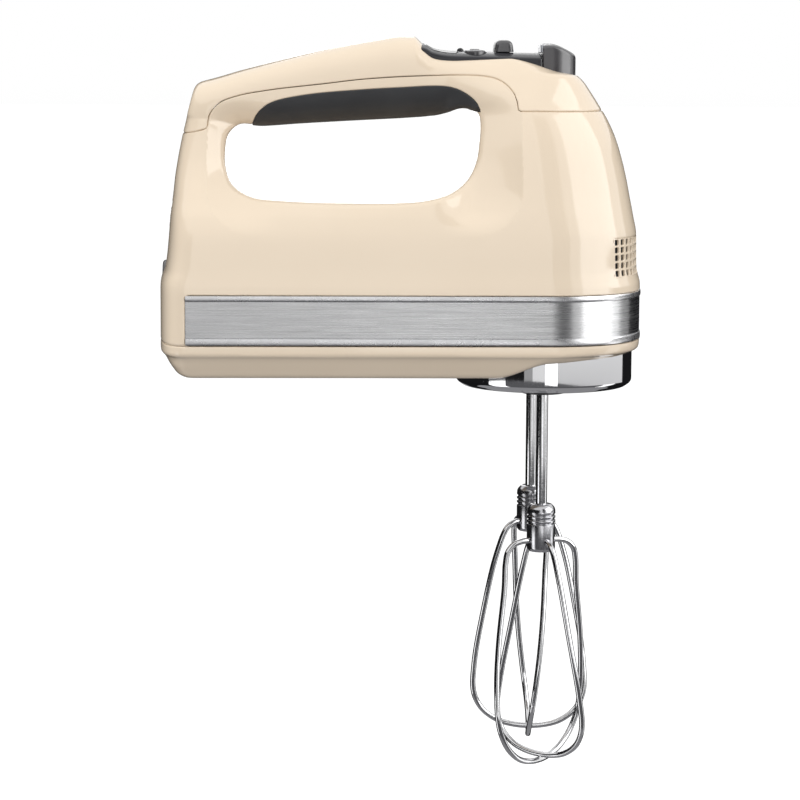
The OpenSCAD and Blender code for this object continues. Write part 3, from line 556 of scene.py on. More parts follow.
def new_mesh(name, points, faces, unit=MM):
    mesh = bpy.data.meshes.new(name)
    mesh.from_pydata((np.asarray(points, float) * unit).tolist(), [], [list(f) for f in faces])
    return mesh


def new_object(name, data):
    obj = bpy.data.objects.new(name, data)
    bpy.context.scene.collection.objects.link(obj)
    return obj


def add_piece(name, points, faces, body, slot, cad=()):
    """A mesh piece from points in millimetres that rides on a body and stands for CAD nodes."""
    mesh = new_mesh(name, points, faces)
    mesh.validate()
    mesh.materials.append(MATERIALS[slot])
    obj = new_object(name, mesh)
    mesh.polygons.foreach_set("use_smooth", [True] * len(mesh.polygons))
    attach(obj, body)
    if cad:
        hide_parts(*cad)
    return obj


def shade(obj, normals, outer, rim):
    """Gives a piece's first faces the field's normals, except at the points of its rim."""
    custom = [tuple(normals[i]) if k < outer and i not in rim else (0.0, 0.0, 0.0)
              for k, polygon in enumerate(obj.data.polygons) for i in polygon.vertices]
    obj.data.normals_split_custom_set(custom)


def add_skin(name, skin, slot, cad, lower=0.28):
    """A shell of the casing whose outer faces are shaded by the field's own normals."""
    skin = skin.trimmed()
    rimmed, rim = with_rim(skin, lower)
    obj = add_piece(name, rimmed.points, rimmed.faces, "housing", slot, [cad])
    shade(obj, rimmed.normals, len(skin.faces), rim)


# --- materials


def fill(node, **values):
    """Sets a node's inputs by name, with an underscore for each space."""
    for key, value in values.items():
        node.inputs[key.replace("_", " ")].default_value = value


class Shader:
    """A Principled material with helpers for the nodes that feed it."""

    def __init__(self, name, colour, roughness, metallic=0.0, **sockets):
        self.mat = bpy.data.materials.new(name)
        self.mat.use_nodes = True
        self.mat.diffuse_color = (*colour, 1)
        self.nodes = self.mat.node_tree.nodes
        self.link = self.mat.node_tree.links.new
        self.bsdf = self.nodes["Principled BSDF"]
        self.colour, self.roughness = colour, roughness
        fill(self.bsdf, Base_Color=(*colour, 1), Roughness=roughness, Metallic=metallic, **sockets)
        self.coords = self.nodes.new("ShaderNodeTexCoord").outputs["Object"]

    def node(self, kind, **values):
        made = self.nodes.new("ShaderNode" + kind)
        fill(made, **values)
        return made

    def noise(self, scale, detail=3.0, stretch=None):
        """Noise with features of about 1/scale metres, drawn out along the axes by stretch."""
        node = self.node("TexNoise", Scale=scale, Detail=detail)
        source = self.coords
        if stretch:
            mapping = self.node("Mapping", Scale=stretch)
            self.link(source, mapping.inputs["Vector"])
            source = mapping.outputs["Vector"]
        self.link(source, node.inputs["Vector"])
        return node.outputs["Fac"]

    def ramp(self, value, low, high):
        """Spreads the middle of a noise's range from low to high."""
        node = self.node("MapRange", From_Min=0.3, From_Max=0.7, To_Min=low, To_Max=high)
        self.link(value, node.inputs["Value"])
        return node.outputs["Result"]

    def vary_colour(self, value, darker, lighter=1.0, tint=(1, 1, 1)):
        """Base colour between a darker and a lighter shade of the material's own."""
        mix = self.node("Mix")
        mix.data_type = "RGBA"
        self.link(self.ramp(value, 0, 1), mix.inputs["Factor"])
        fill(mix, A=(*[c * darker * t for c, t in zip(self.colour, tint)], 1),
             B=(*[min(1, c * lighter) for c in self.colour], 1))
        self.link(mix.outputs["Result"], self.bsdf.inputs["Base Color"])

    def vary_roughness(self, value, spread):
        low, high = max(0.02, self.roughness - spread), self.roughness + spread
        self.link(self.ramp(value, low, high), self.bsdf.inputs["Roughness"])

    def bump(self, value, height, strength=1.0):
        """Relief of the given height in metres, on top of any relief that is there."""
        node = self.node("Bump", Strength=strength, Distance=height)
        self.link(value, node.inputs["Height"])
        last = self.bsdf.inputs["Normal"]
        if last.is_linked:
            self.link(last.links[0].from_socket, node.inputs["Normal"])
        self.link(node.outputs["Normal"], last)


def cream_gloss():
    s = Shader("cream_gloss", (0.785, 0.662, 0.515), 0.11, IOR=1.5, Coat_Weight=0.35, Coat_Roughness=0.04)
    s.vary_colour(s.noise(14, 4), 0.975, 1.012, (1, 0.992, 0.98))
    s.vary_roughness(s.noise(60, 5), 0.025)
    s.bump(s.noise(420, 2), 0.000004, 0.35)
    s.bump(s.noise(3200, 2), 0.000001, 0.3)
    return s.mat


def brushed_band():
    s = Shader("brushed_band", (0.72, 0.72, 0.725), 0.27, 1.0, Anisotropic=0.85, Anisotropic_Rotation=0.25)
    lines = s.noise(1.0, 6, (22, 22, 5200))
    s.vary_colour(s.noise(1.0, 3, (45, 45, 1500)), 0.86, 1.06)
    s.vary_roughness(lines, 0.08)
    s.bump(lines, 0.000012, 0.5)
    return s.mat


def satin_bead():
    s = Shader("polished_bead", (0.80, 0.80, 0.81), 0.27, 1.0)
    s.vary_roughness(s.noise(90, 4), 0.04)
    s.bump(s.noise(1.0, 3, (40, 40, 3000)), 0.0000008, 0.3)
    s.vary_colour(s.noise(30, 2), 0.95, 1.02)
    return s.mat


def chrome():
    s = Shader("collar_chrome", (0.83, 0.83, 0.84), 0.035, 1.0)
    s.vary_roughness(s.noise(70, 5), 0.012)
    s.vary_colour(s.noise(12, 2), 0.97, 1.0)
    s.bump(s.noise(160, 2), 0.000002, 0.2)
    return s.mat


def moulded(name, colour, roughness, grain, height, spread=0.05, **sockets):
    """Moulded plastic or rubber with a fine surface grain."""
    s = Shader(name, colour, roughness, **sockets)
    s.vary_colour(s.noise(55, 4), 0.86, 1.1)
    s.vary_roughness(s.noise(130, 4), spread)
    s.bump(s.noise(grain, 3), height, 0.5)
    return s.mat


def worked_metal(name, colour, roughness, stretch, height=0.00001, spread=0.06):
    """Metal with fine tool marks drawn out along one direction."""
    s = Shader(name, colour, roughness, 1.0)
    marks = s.noise(1.0, 5, stretch)
    s.vary_colour(s.noise(80, 4), 0.88, 1.05)
    s.vary_roughness(marks, spread)
    s.bump(marks, height, 0.5)
    return s.mat


# Colour, roughness, grain, height of the grain and spread of the roughness
PLASTICS = {
    "soft_grip": ((0.030, 0.031, 0.034), 0.52, 3400, 0.00002),
    "panel_plastic": ((0.022, 0.022, 0.026), 0.24, 3000, 0.000008),
    "window": ((0.006, 0.006, 0.008), 0.07, 500, 0.000001, 0.02),
    "insert_clear": ((0.50, 0.52, 0.55), 0.2, 900, 0.000004),
    "dark_plastic": ((0.018, 0.018, 0.02), 0.42, 2400, 0.00001),
    "nylon": ((0.66, 0.64, 0.57), 0.45, 1800, 0.00001),
    "circuit_board": ((0.015, 0.12, 0.05), 0.35, 1200, 0.00001),
    "carbon": ((0.02, 0.02, 0.022), 0.6, 4000, 0.00002),
}
# Colour, roughness, stretch of the tool marks, their height and spread of the roughness
METALS = {
    "lamination": ((0.20, 0.21, 0.24), 0.42, (2400, 60, 60)),
    "steel": ((0.56, 0.56, 0.57), 0.26, (60, 60, 3000)),
    "copper": ((0.72, 0.33, 0.16), 0.3, (2600, 90, 90), 0.00003),
    "bronze": ((0.58, 0.40, 0.19), 0.42, (700, 700, 700)),
    "cast_metal": ((0.52, 0.53, 0.55), 0.5, (900, 900, 900), 0.00003),
    "beater_steel": ((0.74, 0.74, 0.75), 0.10, (120, 120, 1400), 0.000003, 0.03),
    "ferrule_steel": ((0.56, 0.56, 0.58), 0.17, (40, 40, 4200), 0.000006),
}
MATERIALS = {
    "cream_gloss": cream_gloss(),
    "brushed_band": brushed_band(),
    "polished_bead": satin_bead(),
    "collar_chrome": chrome(),
    "button_grey": moulded("button_grey", (0.062, 0.060, 0.064), 0.22, 3200, 0.000004, IOR=1.8),
}
MATERIALS.update({name: moulded(name, *values) for name, values in PLASTICS.items()})
MATERIALS.update({name: worked_metal(name, *values) for name, values in METALS.items()})

for part in frame["record"]["subparts"]:
    cad_mesh = nodes[part["node"]].data
    cad_mesh.materials.clear()
    cad_mesh.materials.append(MATERIALS[part["material_slot"]])


# --- casing shells

COVER_LINE = [
    [-5, 77.4], [10.8, 78.2], [18.6, 79.8], [19.7, 80.3], [20.2, 81.6], [20.9, 85.6], [24.9, 90.5],
    [31.9, 93.4], [45.9, 96], [67.3, 98.5], [85, 100.6], [107.7, 102], [131.3, 102.5],
    [138.8, 101.3], [143, 98.9], [146.0, 95.4], [147.2, 91.6], [147.5, 88.8], [147.9, 88.1], [149.4, 88.0],
    [152, 88.0], [210, 87.9],
]
GRIP_LINE = [
    [30, 60], [37.4, 79], [38.8, 82.4], [40.5, 86.1], [45.9, 90.6], [60.3, 94], [81.8, 96.1], [99.5, 97.2],
    [117.3, 97.9], [123.2, 96.7], [128.2, 93.8], [131, 91], [132.6, 87.6], [134, 84], [136, 80], [142, 60],
]
BAND_X0, BAND_Z0, BAND_Z1 = 11.4, -7.4, 13.0
JOINT_Z = -7.7
COLLAR_X, COLLAR_R = 161.9, 37.3
VENT_AXIS, VENT_STEP, VENT_SIDE = 158.0, 5.6, 8
VENT_Z0, VENT_PITCH, VENT_ROWS = 21.4, 3.2, 5
SWIVEL_Z, SWIVEL_R = 16.0, 8.5
SEAM = 0.17
CELL = 1.0
# Added to a cutting scalar outside the place that it cuts
OUT = 200
HEEL_X = 12
BAND_MID = 2.8
VENT_R = 42
SLOT_Z0, SLOT_PITCH, SLOT_COUNT = 34.95, 3.4, 5
CAP_X, CAP_LENGTH, CAP_HALF_Y = 163.2, 10.6, 12.0


def band_window(x, y, z):
    return rounded_box(x - (BAND_X0 - 0.2 + 150), z - BAND_MID, 150, 10.4, 1.3)


def collar_wall(x, y, z):
    return np.hypot(x - COLLAR_X, y) - COLLAR_R - 0.12 + OUT * (z > -9)


def vent_window(x, y, z):
    angle = np.degrees(np.arctan2(y, x - VENT_AXIS))
    across = (np.abs(angle) - (VENT_SIDE + 0.5) * VENT_STEP) * math.radians(1) * VENT_R
    middle = VENT_Z0 + VENT_PITCH * (VENT_ROWS - 1) / 2
    return np.maximum(across, np.abs(z - middle) - VENT_PITCH * VENT_ROWS / 2)


def swivel_hole(x, y, z):
    return np.hypot(y, z - SWIVEL_Z) - SWIVEL_R - 0.3 + OUT * (x > HEEL_X)


def rear_slots(x, y, z):
    slots = [rounded_box(y, z - (SLOT_Z0 + SLOT_PITCH * k), 14, 0.95, 0.9) for k in range(SLOT_COUNT)]
    return np.minimum.reduce(slots) + OUT * (x > HEEL_X)


grip_side = polyline_field(GRIP_LINE)


def grip_edge(x, y, z):
    """Positive outside the soft grip: above its edge line, and below its front end."""
    return np.maximum(grip_side(x, y, z), np.where(x > 127, 87.3 - z, -50.0))


def cap_plan(x, y):
    """Plan outline of the eject button: square at the panel, rounded at the nose end."""
    p = 2.3
    nose = ((np.maximum(x - CAP_X, 0) / CAP_LENGTH) ** p + (np.abs(y) / CAP_HALF_Y) ** p) ** (1 / p)
    return (nose - 1) * 9.5


def eject_hole(x, y, z):
    return np.maximum(cap_plan(x, y) - 0.35, 158.7 - x) + OUT * (z < 92)


def height(x, y, z):
    return z


def cut_away(skin, scalar):
    """Drops the part of a surface where the scalar is negative."""
    return split(edge_row(skin, scalar, 0.5), scalar, 0.0)[0]


def parted(skin, scalar, level, gap):
    """The surfaces above and below a seam of twice the gap."""
    above, below = split(skin, scalar, level + gap)
    return above, split(below, scalar, level - gap)[1]


def grip_and_rest(skin):
    """Cuts the soft grip out of the shell round the opening."""
    near = {f for f in skin.faces if min(skin.points[i, 2] for i in f) > 70
            and 30 < skin.points[f[0], 0] < 140}
    other = [f for f in skin.faces if f not in near]
    top = skin.holding([f for f in skin.faces if f in near])
    top = edge_row(edge_row(top, grip_edge, 0.5), grip_edge, -0.5)
    above, grip = split(top, grip_edge, 0.0)
    return grip, above.holding(other + above.faces)


def casing_shells():
    points, quads = even_net(casing_field, [-3, 0, -25], [206, 47, 122], CELL)
    skin = Skin(points, normals_at(casing_field, points), [tuple(q) for q in quads.tolist()])
    skin = edge_row(skin, crease_field, 0.0)
    cover_side = polyline_field(COVER_LINE)
    skin = edge_row(edge_row(skin, cover_side, 0.6), cover_side, -0.6)
    cover, rest = parted(skin, cover_side, 0.0, SEAM)
    grip, rest = grip_and_rest(rest)
    upper, lower = parted(cut_away(rest, band_window), height, JOINT_Z, 0.12)
    upper = cut_away(cut_away(upper, swivel_hole), rear_slots)
    upper = split(upper, vent_window, -0.45)[0]
    return upper, cut_away(cover, eject_hole), cut_away(lower, collar_wall), grip


upper, cover, lower, grip = casing_shells()
add_skin("housing_shell", upper, "cream_gloss", "main_housing")
add_skin("handle_cover_shell", cover, "cream_gloss", "handle_cover")
add_skin("bottom_shell", lower, "cream_gloss", "bottom_housing")
grip = grip.trimmed()
grip.points = grip.points + 0.3 * grip.normals
add_skin("grip_overmould", grip, "soft_grip", "soft_grip", 0.4)


# --- shared ways of building pieces


def ring_quads(rings, count):
    """Faces between neighbouring closed rings, each of the same count of points."""
    quads = []
    for j in range(rings - 1):
        a, b = j * count, (j + 1) * count
        quads += [(a + k, b + k, b + (k + 1) % count, a + (k + 1) % count) for k in range(count)]
    return quads


def lathe(profile, x, y, segments):
    """Points and faces of an outline of (radius, height) turned about a vertical axis."""
    turns = [2 * math.pi * k / segments for k in range(segments)]
    points = [(x + r * math.cos(a), y + r * math.sin(a), z) for r, z in profile for a in turns]
    faces = ring_quads(len(profile), segments)
    for j, order in ((0, 1), (len(profile) - 1, -1)):
        if profile[j][0] > 0.01:
            faces.append(tuple(range(j * segments, (j + 1) * segments))[::order])
    return points, faces


def rounded_profile(corners, steps=4):
    """Rounds the corners of an open (radius, height) outline; a corner is (r, z, rounding)."""
    out = []
    for i, (r, z, size) in enumerate(corners):
        here = np.array([r, z], float)
        if size <= 0 or i in (0, len(corners) - 1):
            out.append(tuple(here))
            continue
        a = np.array(corners[i - 1][:2], float) - here
        b = np.array(corners[i + 1][:2], float) - here
        a, b = a / np.linalg.norm(a) * size, b / np.linalg.norm(b) * size
        for t in np.linspace(0, 1, steps + 1):
            out.append(tuple(here + a * (1 - t) ** 2 + b * t ** 2))
    return out


def tube(path, radius, sides=14):
    """A round rod along a path, closed at both ends."""
    path = np.array(path, float)
    along = np.gradient(path, axis=0)
    along /= np.linalg.norm(along, axis=1)[:, None]
    # Any direction that the path doesn't start along
    u = np.cross(along[0], [0.3, 0.2, 1.0])
    points = []
    for p, t in zip(path, along):
        u = u - (u @ t) * t
        u /= np.linalg.norm(u)
        v = np.cross(t, u)
        for k in range(sides):
            a = 2 * math.pi * k / sides
            points.append(p + radius * (math.cos(a) * u + math.sin(a) * v))
    faces = [(a, d, c, b) for a, b, c, d in ring_quads(len(path), sides)]
    last = (len(path) - 1) * sides
    return points, faces + [tuple(range(sides))[::-1], tuple(range(last, last + sides))]


def joined(*parts):
    """Several (points, faces) as one."""
    points, faces = [], []
    for p, f in parts:
        start = len(points)
        points.extend([tuple(q) for q in p])
        faces.extend([tuple(i + start for i in face) for face in f])
    return points, faces


def outward(obj):
    """Makes all faces of a closed piece look outwards."""
    bm = bmesh.new()
    bm.from_mesh(obj.data)
    bmesh.ops.recalc_face_normals(bm, faces=bm.faces)
    bm.to_mesh(obj.data)
    bm.free()


def solid(name, shape, body, slot, cad=(), angle=180):
    """A closed piece from (points, faces), smooth except at edges over an angle in degrees."""
    obj = add_piece(name, *shape, body, slot, cad)
    outward(obj)
    if angle < 180:
        obj.data.set_sharp_from_angle(angle=math.radians(angle))
    return obj


def form(name, field, low, high, cell, body, slot, cad):
    """A piece meshed from its own smooth field."""
    points, quads = even_net(field, low, high, cell)
    obj = add_piece(name, points, quads.tolist(), body, slot, [cad])
    obj.data.normals_split_custom_set_from_vertices(normals_at(field, points).tolist())


def carve(obj, cutters):
    """Cuts closed shapes, each (points, faces) in millimetres, out of a piece."""
    for shape in cutters:
        cutter = new_object("cutter", new_mesh("cutter", *shape))
        outward(cutter)
        cut = obj.modifiers.new("cut", "BOOLEAN")
        cut.operation = "DIFFERENCE"
        cut.solver = "EXACT"
        cut.object = cutter
        bpy.context.view_layer.update()
        evaluated = obj.evaluated_get(bpy.context.evaluated_depsgraph_get())
        baked = bpy.data.meshes.new_from_object(evaluated)
        obj.modifiers.clear()
        obj.data = baked
        bpy.data.objects.remove(cutter)


# --- metal band and beads

BAND_LOW, BAND_HIGH = -4.5, 10.7
# How far inside the casing the band's back is, and how far its beads stand out of it
BAND_BACK, BEAD_PROUD = -1.3, 0.34


def band_path():
    """Points and outward directions along the band, from its near end round the nose to its far end."""
    _, xf, wr, wf, _, nose = (float(cubic(*c, BAND_MID)) for c in LEVEL_CURVES)
    near = [(x, -(wr + (wf - wr) * 0.5)) for x in np.linspace(BAND_X0, xf - nose, 34)]
    turn = [(xf - nose + nose * math.sin(t) ** (2 / NOSE_POWER), -wf * math.cos(t) ** (2 / NOSE_POWER))
            for t in np.linspace(0.02, math.pi / 2, 46)]
    half = np.array(near + turn)
    half = np.vstack([half, (half[-2::-1] * [1, -1])])
    p = np.column_stack([half, np.full(len(half), BAND_MID)])

    def level_field(x, y, z):
        return plan_field(x, y, 0 * z + BAND_MID)

    p[:, :2] = onto_surface(level_field, p, 5)[:, :2]
    p[[0, -1], 0] = BAND_X0
    n = normals_at(level_field, p)
    return p[:, :2], n[:, :2]


def band_sweep(profile):
    """A closed cross-section of (outward offset, height) carried along the band."""
    at, out = band_path()
    m = len(profile)
    points = [(p[0] + d * n[0], p[1] + d * n[1], z) for p, n in zip(at, out) for d, z in profile]
    last = (len(at) - 1) * m
    ends = [tuple(range(m)), tuple(range(last, last + m))[::-1]]
    return points, ring_quads(len(at), m) + ends


def bead_profile(z0, z1):
    """A bead with a slightly crowned face between two heights."""
    mid, half = (z0 + z1) / 2, (z1 - z0) / 2
    shoulder = BEAD_PROUD - 0.10
    crown = [(BEAD_PROUD - 0.05 * t * t, mid + (half - 0.3) * t) for t in np.linspace(-1, 1, 7)]
    return [(BAND_BACK, z0), (-0.15, z0), (shoulder, z0 + 0.12), *crown,
            (shoulder, z1 - 0.12), (-0.15, z1), (BAND_BACK, z1)]


solid("brushed_band", band_sweep([
    (BAND_BACK, BAND_LOW), (-0.25, BAND_LOW), (-0.08, -4.32), (-0.08, 10.52), (-0.25, BAND_HIGH),
    (BAND_BACK, BAND_HIGH)]), "housing", "brushed_band", ["trim_band"], 30)
solid("band_beads", joined(band_sweep(bead_profile(BAND_Z0, BAND_LOW)),
                           band_sweep(bead_profile(BAND_HIGH, BAND_Z1))),
      "housing", "polished_bead", ["trim_beads"], 50)


# --- nose vents

# Half-size of a hole at the surface and at its edge, its roundness, and a radius to start from
HOLE_HALF, HOLE_EDGE, HOLE_POWER, VENT_START = 1.36, 1.22, 6.0, 41.0


def hole_ring():
    """Points round a cell's square, from -1 to 1, and the same points on a rounded square."""
    places = (-1, -0.5, 0, 0.5)
    square = [(s, -1) for s in places] + [(1, s) for s in places]
    square += [(-s, 1) for s in places] + [(-1, -s) for s in places]
    sizes = [(abs(s) ** HOLE_POWER + abs(t) ** HOLE_POWER) ** (1 / HOLE_POWER) for s, t in square]
    return square, [(s / size, t / size) for (s, t), size in zip(square, sizes)]


def vent_grid():
    """The pierced nose laid out as (angle, height) points, with its faces and each hole's edge."""
    index, faces, edges = {}, [], []

    def ring(angle, z, shape, half_a, half_z):
        keys = [(round(angle + s * half_a, 3), round(z + t * half_z, 3)) for s, t in shape]
        return [index.setdefault(key, len(index)) for key in keys]

    square, hole = hole_ring()
    hole_a = math.degrees(HOLE_HALF / VENT_R)
    for column in range(-VENT_SIDE, VENT_SIDE + 1):
        for row in range(VENT_ROWS):
            at = column * VENT_STEP, VENT_Z0 + row * VENT_PITCH
            outer = ring(*at, square, VENT_STEP / 2, VENT_PITCH / 2)
            lip = ring(*at, hole, hole_a + 0.14, HOLE_HALF)
            edge = ring(*at, hole, hole_a, HOLE_EDGE)
            for k in range(len(square)):
                n = (k + 1) % len(square)
                faces.append((outer[k], outer[n], lip[n], lip[k]))
                faces.append((lip[k], lip[n], edge[n], edge[k]))
            edges.append(edge)
    return list(index), faces, edges


def nose_points(angle, z):
    """Points of the casing at angles about the vent axis and heights."""
    rho, ahead = np.full(len(angle), VENT_START), 0.05
    for _ in range(12):
        x, y = VENT_AXIS + rho * np.cos(angle), rho * np.sin(angle)
        x2, y2 = x + ahead * np.cos(angle), y + ahead * np.sin(angle)
        f = casing_field(x, y, z)
        rho -= np.clip(f / ((casing_field(x2, y2, z) - f) / ahead), -2, 2)
    return np.column_stack([VENT_AXIS + rho * np.cos(angle), rho * np.sin(angle), z])


def vent_patch():
    """The pierced part of the nose: one rounded square hole in each cell of a grid."""
    grid, faces, edges = vent_grid()
    angle, z = np.array(grid).T
    surface = nose_points(np.radians(angle), z)
    normal = normals_at(casing_field, surface)
    rim = sorted({i for edge in edges for i in edge})
    surface[rim] -= 0.12 * normal[rim]
    inner = {i: len(surface) + k for k, i in enumerate(rim)}
    deep = surface[rim] - 0.8 * normal[rim]
    walls = [(a, b, inner[b], inner[a]) for edge in edges for a, b in zip(edge, edge[1:] + edge[:1])]
    obj = add_piece("nose_vent_grille", np.vstack([surface, deep]), faces + walls, "housing", "cream_gloss")
    shade(obj, normal, len(faces), set(rim))


def vent_shade_sheet():
    """A near-black sheet just inside the vent holes: painted shade that darkens the view through them."""
    half = (VENT_SIDE + 0.7) * VENT_STEP
    angles = np.radians(np.linspace(-half, half, 40))
    heights = np.linspace(VENT_Z0 - 2.0, VENT_Z0 + VENT_PITCH * VENT_ROWS - 1.2, 9)
    angle, z = np.array([(a, z) for z in heights for a in angles]).T
    start = np.column_stack([VENT_AXIS + VENT_START * np.cos(angle), VENT_START * np.sin(angle), z])
    outer = onto_surface(casing_field, start, 8)
    normal = normals_at(casing_field, outer)
    n, w = len(outer), len(angles)
    faces = []
    for a in (j * w + k for j in range(len(heights) - 1) for k in range(w - 1)):
        faces.append((a, a + 1, a + w + 1, a + w))
        faces.append((n + a, n + a + w, n + a + w + 1, n + a + 1))
    faces += [(b, a, a + n, b + n) for a, b in boundary(faces[::2])]
    points = np.vstack([outer - 1.3 * normal, outer - 2.2 * normal])
    # painted shade: this sheet's near-black plastic stands in for the shade inside the casing behind the vents
    solid("vent_shade_sheet", (points, faces), "housing", "dark_plastic", angle=40)


vent_patch()
# painted shade: a near-black sheet behind the vent holes
vent_shade_sheet()


# --- collar and swivel

DRIVE_X, BEATER_Y = 159.3, 25.0
COLLAR_TOP = -11

collar_outline = rounded_profile([
    (35.3, COLLAR_TOP, 0), (COLLAR_R, COLLAR_TOP, 0), (COLLAR_R, -25.4, 0.5), (36.6, -26.6, 0.6),
    (34.4, -28.1, 0.8), (31.0, -28.1, 0.8), (29.6, -27.4, 0.6), (0.0, -27.4, 0)], 5)
collar_outline += [(0.0, -25.9), (35.3, -25.9), (35.3, COLLAR_TOP)]
collar = solid("collar_ring", lathe(collar_outline, COLLAR_X, 0, 160), "housing", "collar_chrome", ["collar"])
carve(collar, [lathe([(9.0, -32), (9.0, -20)], DRIVE_X, side * BEATER_Y, 48) for side in (-1, 1)])
collar.data.set_sharp_from_angle(angle=math.radians(28))


def swivel_form(x, y, z):
    from_axis, from_bore = np.hypot(y, z - SWIVEL_Z), np.hypot(y, z - 13.0)
    body = smooth_max(from_axis - SWIVEL_R, 0.75 - x, 1.6)
    lip = np.abs(from_bore - 4.4) - 0.5
    body = np.minimum(body, smooth_max(lip, 0.72 - x, 0.5))
    return smooth_max(smooth_max(body, 3.5 - from_bore, 0.6), x - 9.6, 0.4)


form("cord_swivel_boss", swivel_form, [-1, 0, 6], [11, 10, 26], 0.3,
     "cord_swivel", "button_grey", "cord_swivel")


# --- control panel

PANEL_CURVE = curves(np.array([
    [108.5, 115.7], [110.4, 115.2], [113.6, 113.5], [117.4, 112.6], [121.5, 112.2], [137.0, 112.0],
    [158.6, 111.6]]))[0]
EJECT_CURVE = curves(np.array([
    [157.0, 115.0], [160.4, 115.5], [163.0, 115.5], [165.4, 115.0], [169.4, 113.2], [173.0, 111.2],
    [176.0, 109.4]]))[0]
PANEL_HALF_Y = 13.0
BUTTON_X, BUTTON_Y, BUTTON_R = 131.4, 5.6, 4.3
WINDOW_X, KNOB_X, INSERT_X = 117.1, 143.4, 159.0


def panel_top(x, y):
    return cubic(*PANEL_CURVE, x) - 2.3 * (np.abs(y) / PANEL_HALF_Y) ** 2.6


def panel_form(x, y, z):
    """The strip, with a well for the window, a slot for the knob and holes for the buttons."""
    top = panel_top(x, y)
    slot = smooth_max(rounded_box(x - 147.6, y, 8.6, 3.2, 0.8), 108.6 - z, 0.3)
    window = smooth_max(rounded_box(x - WINDOW_X, y, 6.8, 9.1, 1.5), top - 0.9 - z, 0.2)
    f = smooth_max(z - top, rounded_box(x - 133.5, y, 25.2, PANEL_HALF_Y, 0.8), 0.9)
    for side in (-1, 1):
        hole = np.hypot(x - BUTTON_X, y - side * BUTTON_Y) - BUTTON_R - 0.3
        f = smooth_max(f, -smooth_max(hole, 106.0 - z, 0.2), 0.3)
    f = smooth_max(smooth_max(f, -slot, 0.5), -window, 0.3)
    return smooth_max(f, 105.4 - z, 0.3)


def window_form(x, y, z):
    top = panel_top(x, y) + 0.05
    f = smooth_max(z - top, rounded_box(x - WINDOW_X, y, 6.6, 8.9, 1.4), 0.5)
    return smooth_max(f, top - 1.4 - z, 0.2)


def knob_form(x, y, z):
    across = np.abs(x - KNOB_X) - 4.05 + 0.15 * (z - 112.3)
    f = smooth_max(smooth_max(across, np.abs(y) - 5.9, 2.0), z - 116.9, 2.4)
    stem = smooth_max(np.abs(x - KNOB_X) - 2.6, np.abs(y) - 2.6, 0.8)
    lower = smooth_max(np.maximum(stem, z - 113), 104.5 - z, 0.3)
    return np.minimum(smooth_max(f, 111.95 - z, 0.1), lower)


def eject_form(x, y, z):
    """The sloping cap, with a notch across its back for the pale insert."""
    top = cubic(*EJECT_CURVE, x) - 0.9 * (np.abs(y) / CAP_HALF_Y) ** 3
    f = smooth_max(cap_plan(x, y), 159.15 - x, 0.5)
    f = smooth_max(f, z - top, 1.5)
    notch = smooth_max(rounded_box(x - INSERT_X, z - 113.6, 0.55, 1.9, 0.3), np.abs(y) - 9.9, 0.3)
    return smooth_max(smooth_max(f, -notch, 0.2), 97.5 - z, 0.4)


form("control_panel_strip", panel_form, [107, 0, 104], [160, 14, 117.5], 0.42,
     "housing", "panel_plastic", "control_panel")
form("display_window_pane", window_form, [109, 0, 108], [125, 10, 117.5], 0.36,
     "housing", "window", "display_window")
form("slider_knob", knob_form, [138, 0, 103], [149, 7, 118.5], 0.3,
     "power_slider", "button_grey", "power_slider")
form("eject_cap", eject_form, [157.5, 0, 96], [175.5, 13, 117.5], 0.36,
     "ejector", "button_grey", "eject_button")


def slab(x0, x1, half_y, z0, z1, bevel):
    """A block with bevelled edges, as (points, faces)."""
    bm = bmesh.new()
    bmesh.ops.create_cube(bm, size=1)
    middle, size = ((x0 + x1) / 2, 0, (z0 + z1) / 2), (x1 - x0, 2 * half_y, z1 - z0)
    for v in bm.verts:
        v.co = Vector([m + c * s for m, c, s in zip(middle, v.co, size)])
    bmesh.ops.bevel(bm, geom=list(bm.edges), offset=bevel, segments=3, profile=0.5, affect="EDGES")
    bm.verts.index_update()
    points = [tuple(v.co) for v in bm.verts]
    faces = [tuple(v.index for v in f.verts) for f in bm.faces]
    bm.free()
    return points, faces


solid("eject_cap_insert", slab(INSERT_X, 159.7, 9.5, 111.95, 115.0, 0.15), "ejector", "insert_clear",
      ["eject_button_insert"])


def speed_button(name, side):
    """A domed round button with a raised plus or minus mark."""
    y, r, top = side * BUTTON_Y, BUTTON_R - 0.05, 112.6
    dome = [(r - 0.9 * (1 - math.cos(t)), 111.7 + 0.9 * math.sin(t)) for t in np.linspace(0, 1.4, 6)]
    crown = [(r, top + 0.32 * (1 - (r / 3.4) ** 2)) for r in (3.4, 2.6, 1.8, 1.0, 0.0)]
    outline = [(0.0, 103.4), (5.4, 103.4), (5.4, 104.4), (r, 104.4)] + dome[:-1] + crown
    bar, faces = slab(-1.5, 1.5, 0.28, 112.75, 113.12, 0.1)
    marks = [([(BUTTON_X + p[0], y + p[1], p[2]) for p in bar], faces)]
    if side > 0:
        marks.append(([(BUTTON_X - p[1], y + p[0], p[2]) for p in bar], faces))
    solid(name + "_cap", joined(lathe(outline, BUTTON_X, y, 48), *marks), name + "_button",
          "button_grey", [name + "_button"], 40)


speed_button("speed_down", -1)
speed_button("speed_up", 1)


def indicator_lens():
    r = 1.45
    dome = [(r * math.cos(t), 112.2 + 1.35 * math.sin(t)) for t in np.linspace(0, math.pi / 2, 9)]
    solid("indicator_lens", lathe([(0.0, 110.5), (r, 110.5)] + dome, 125.4, 0, 36), "housing", "window",
          angle=40)


indicator_lens()


# --- beaters

WIRE_R = 1.22
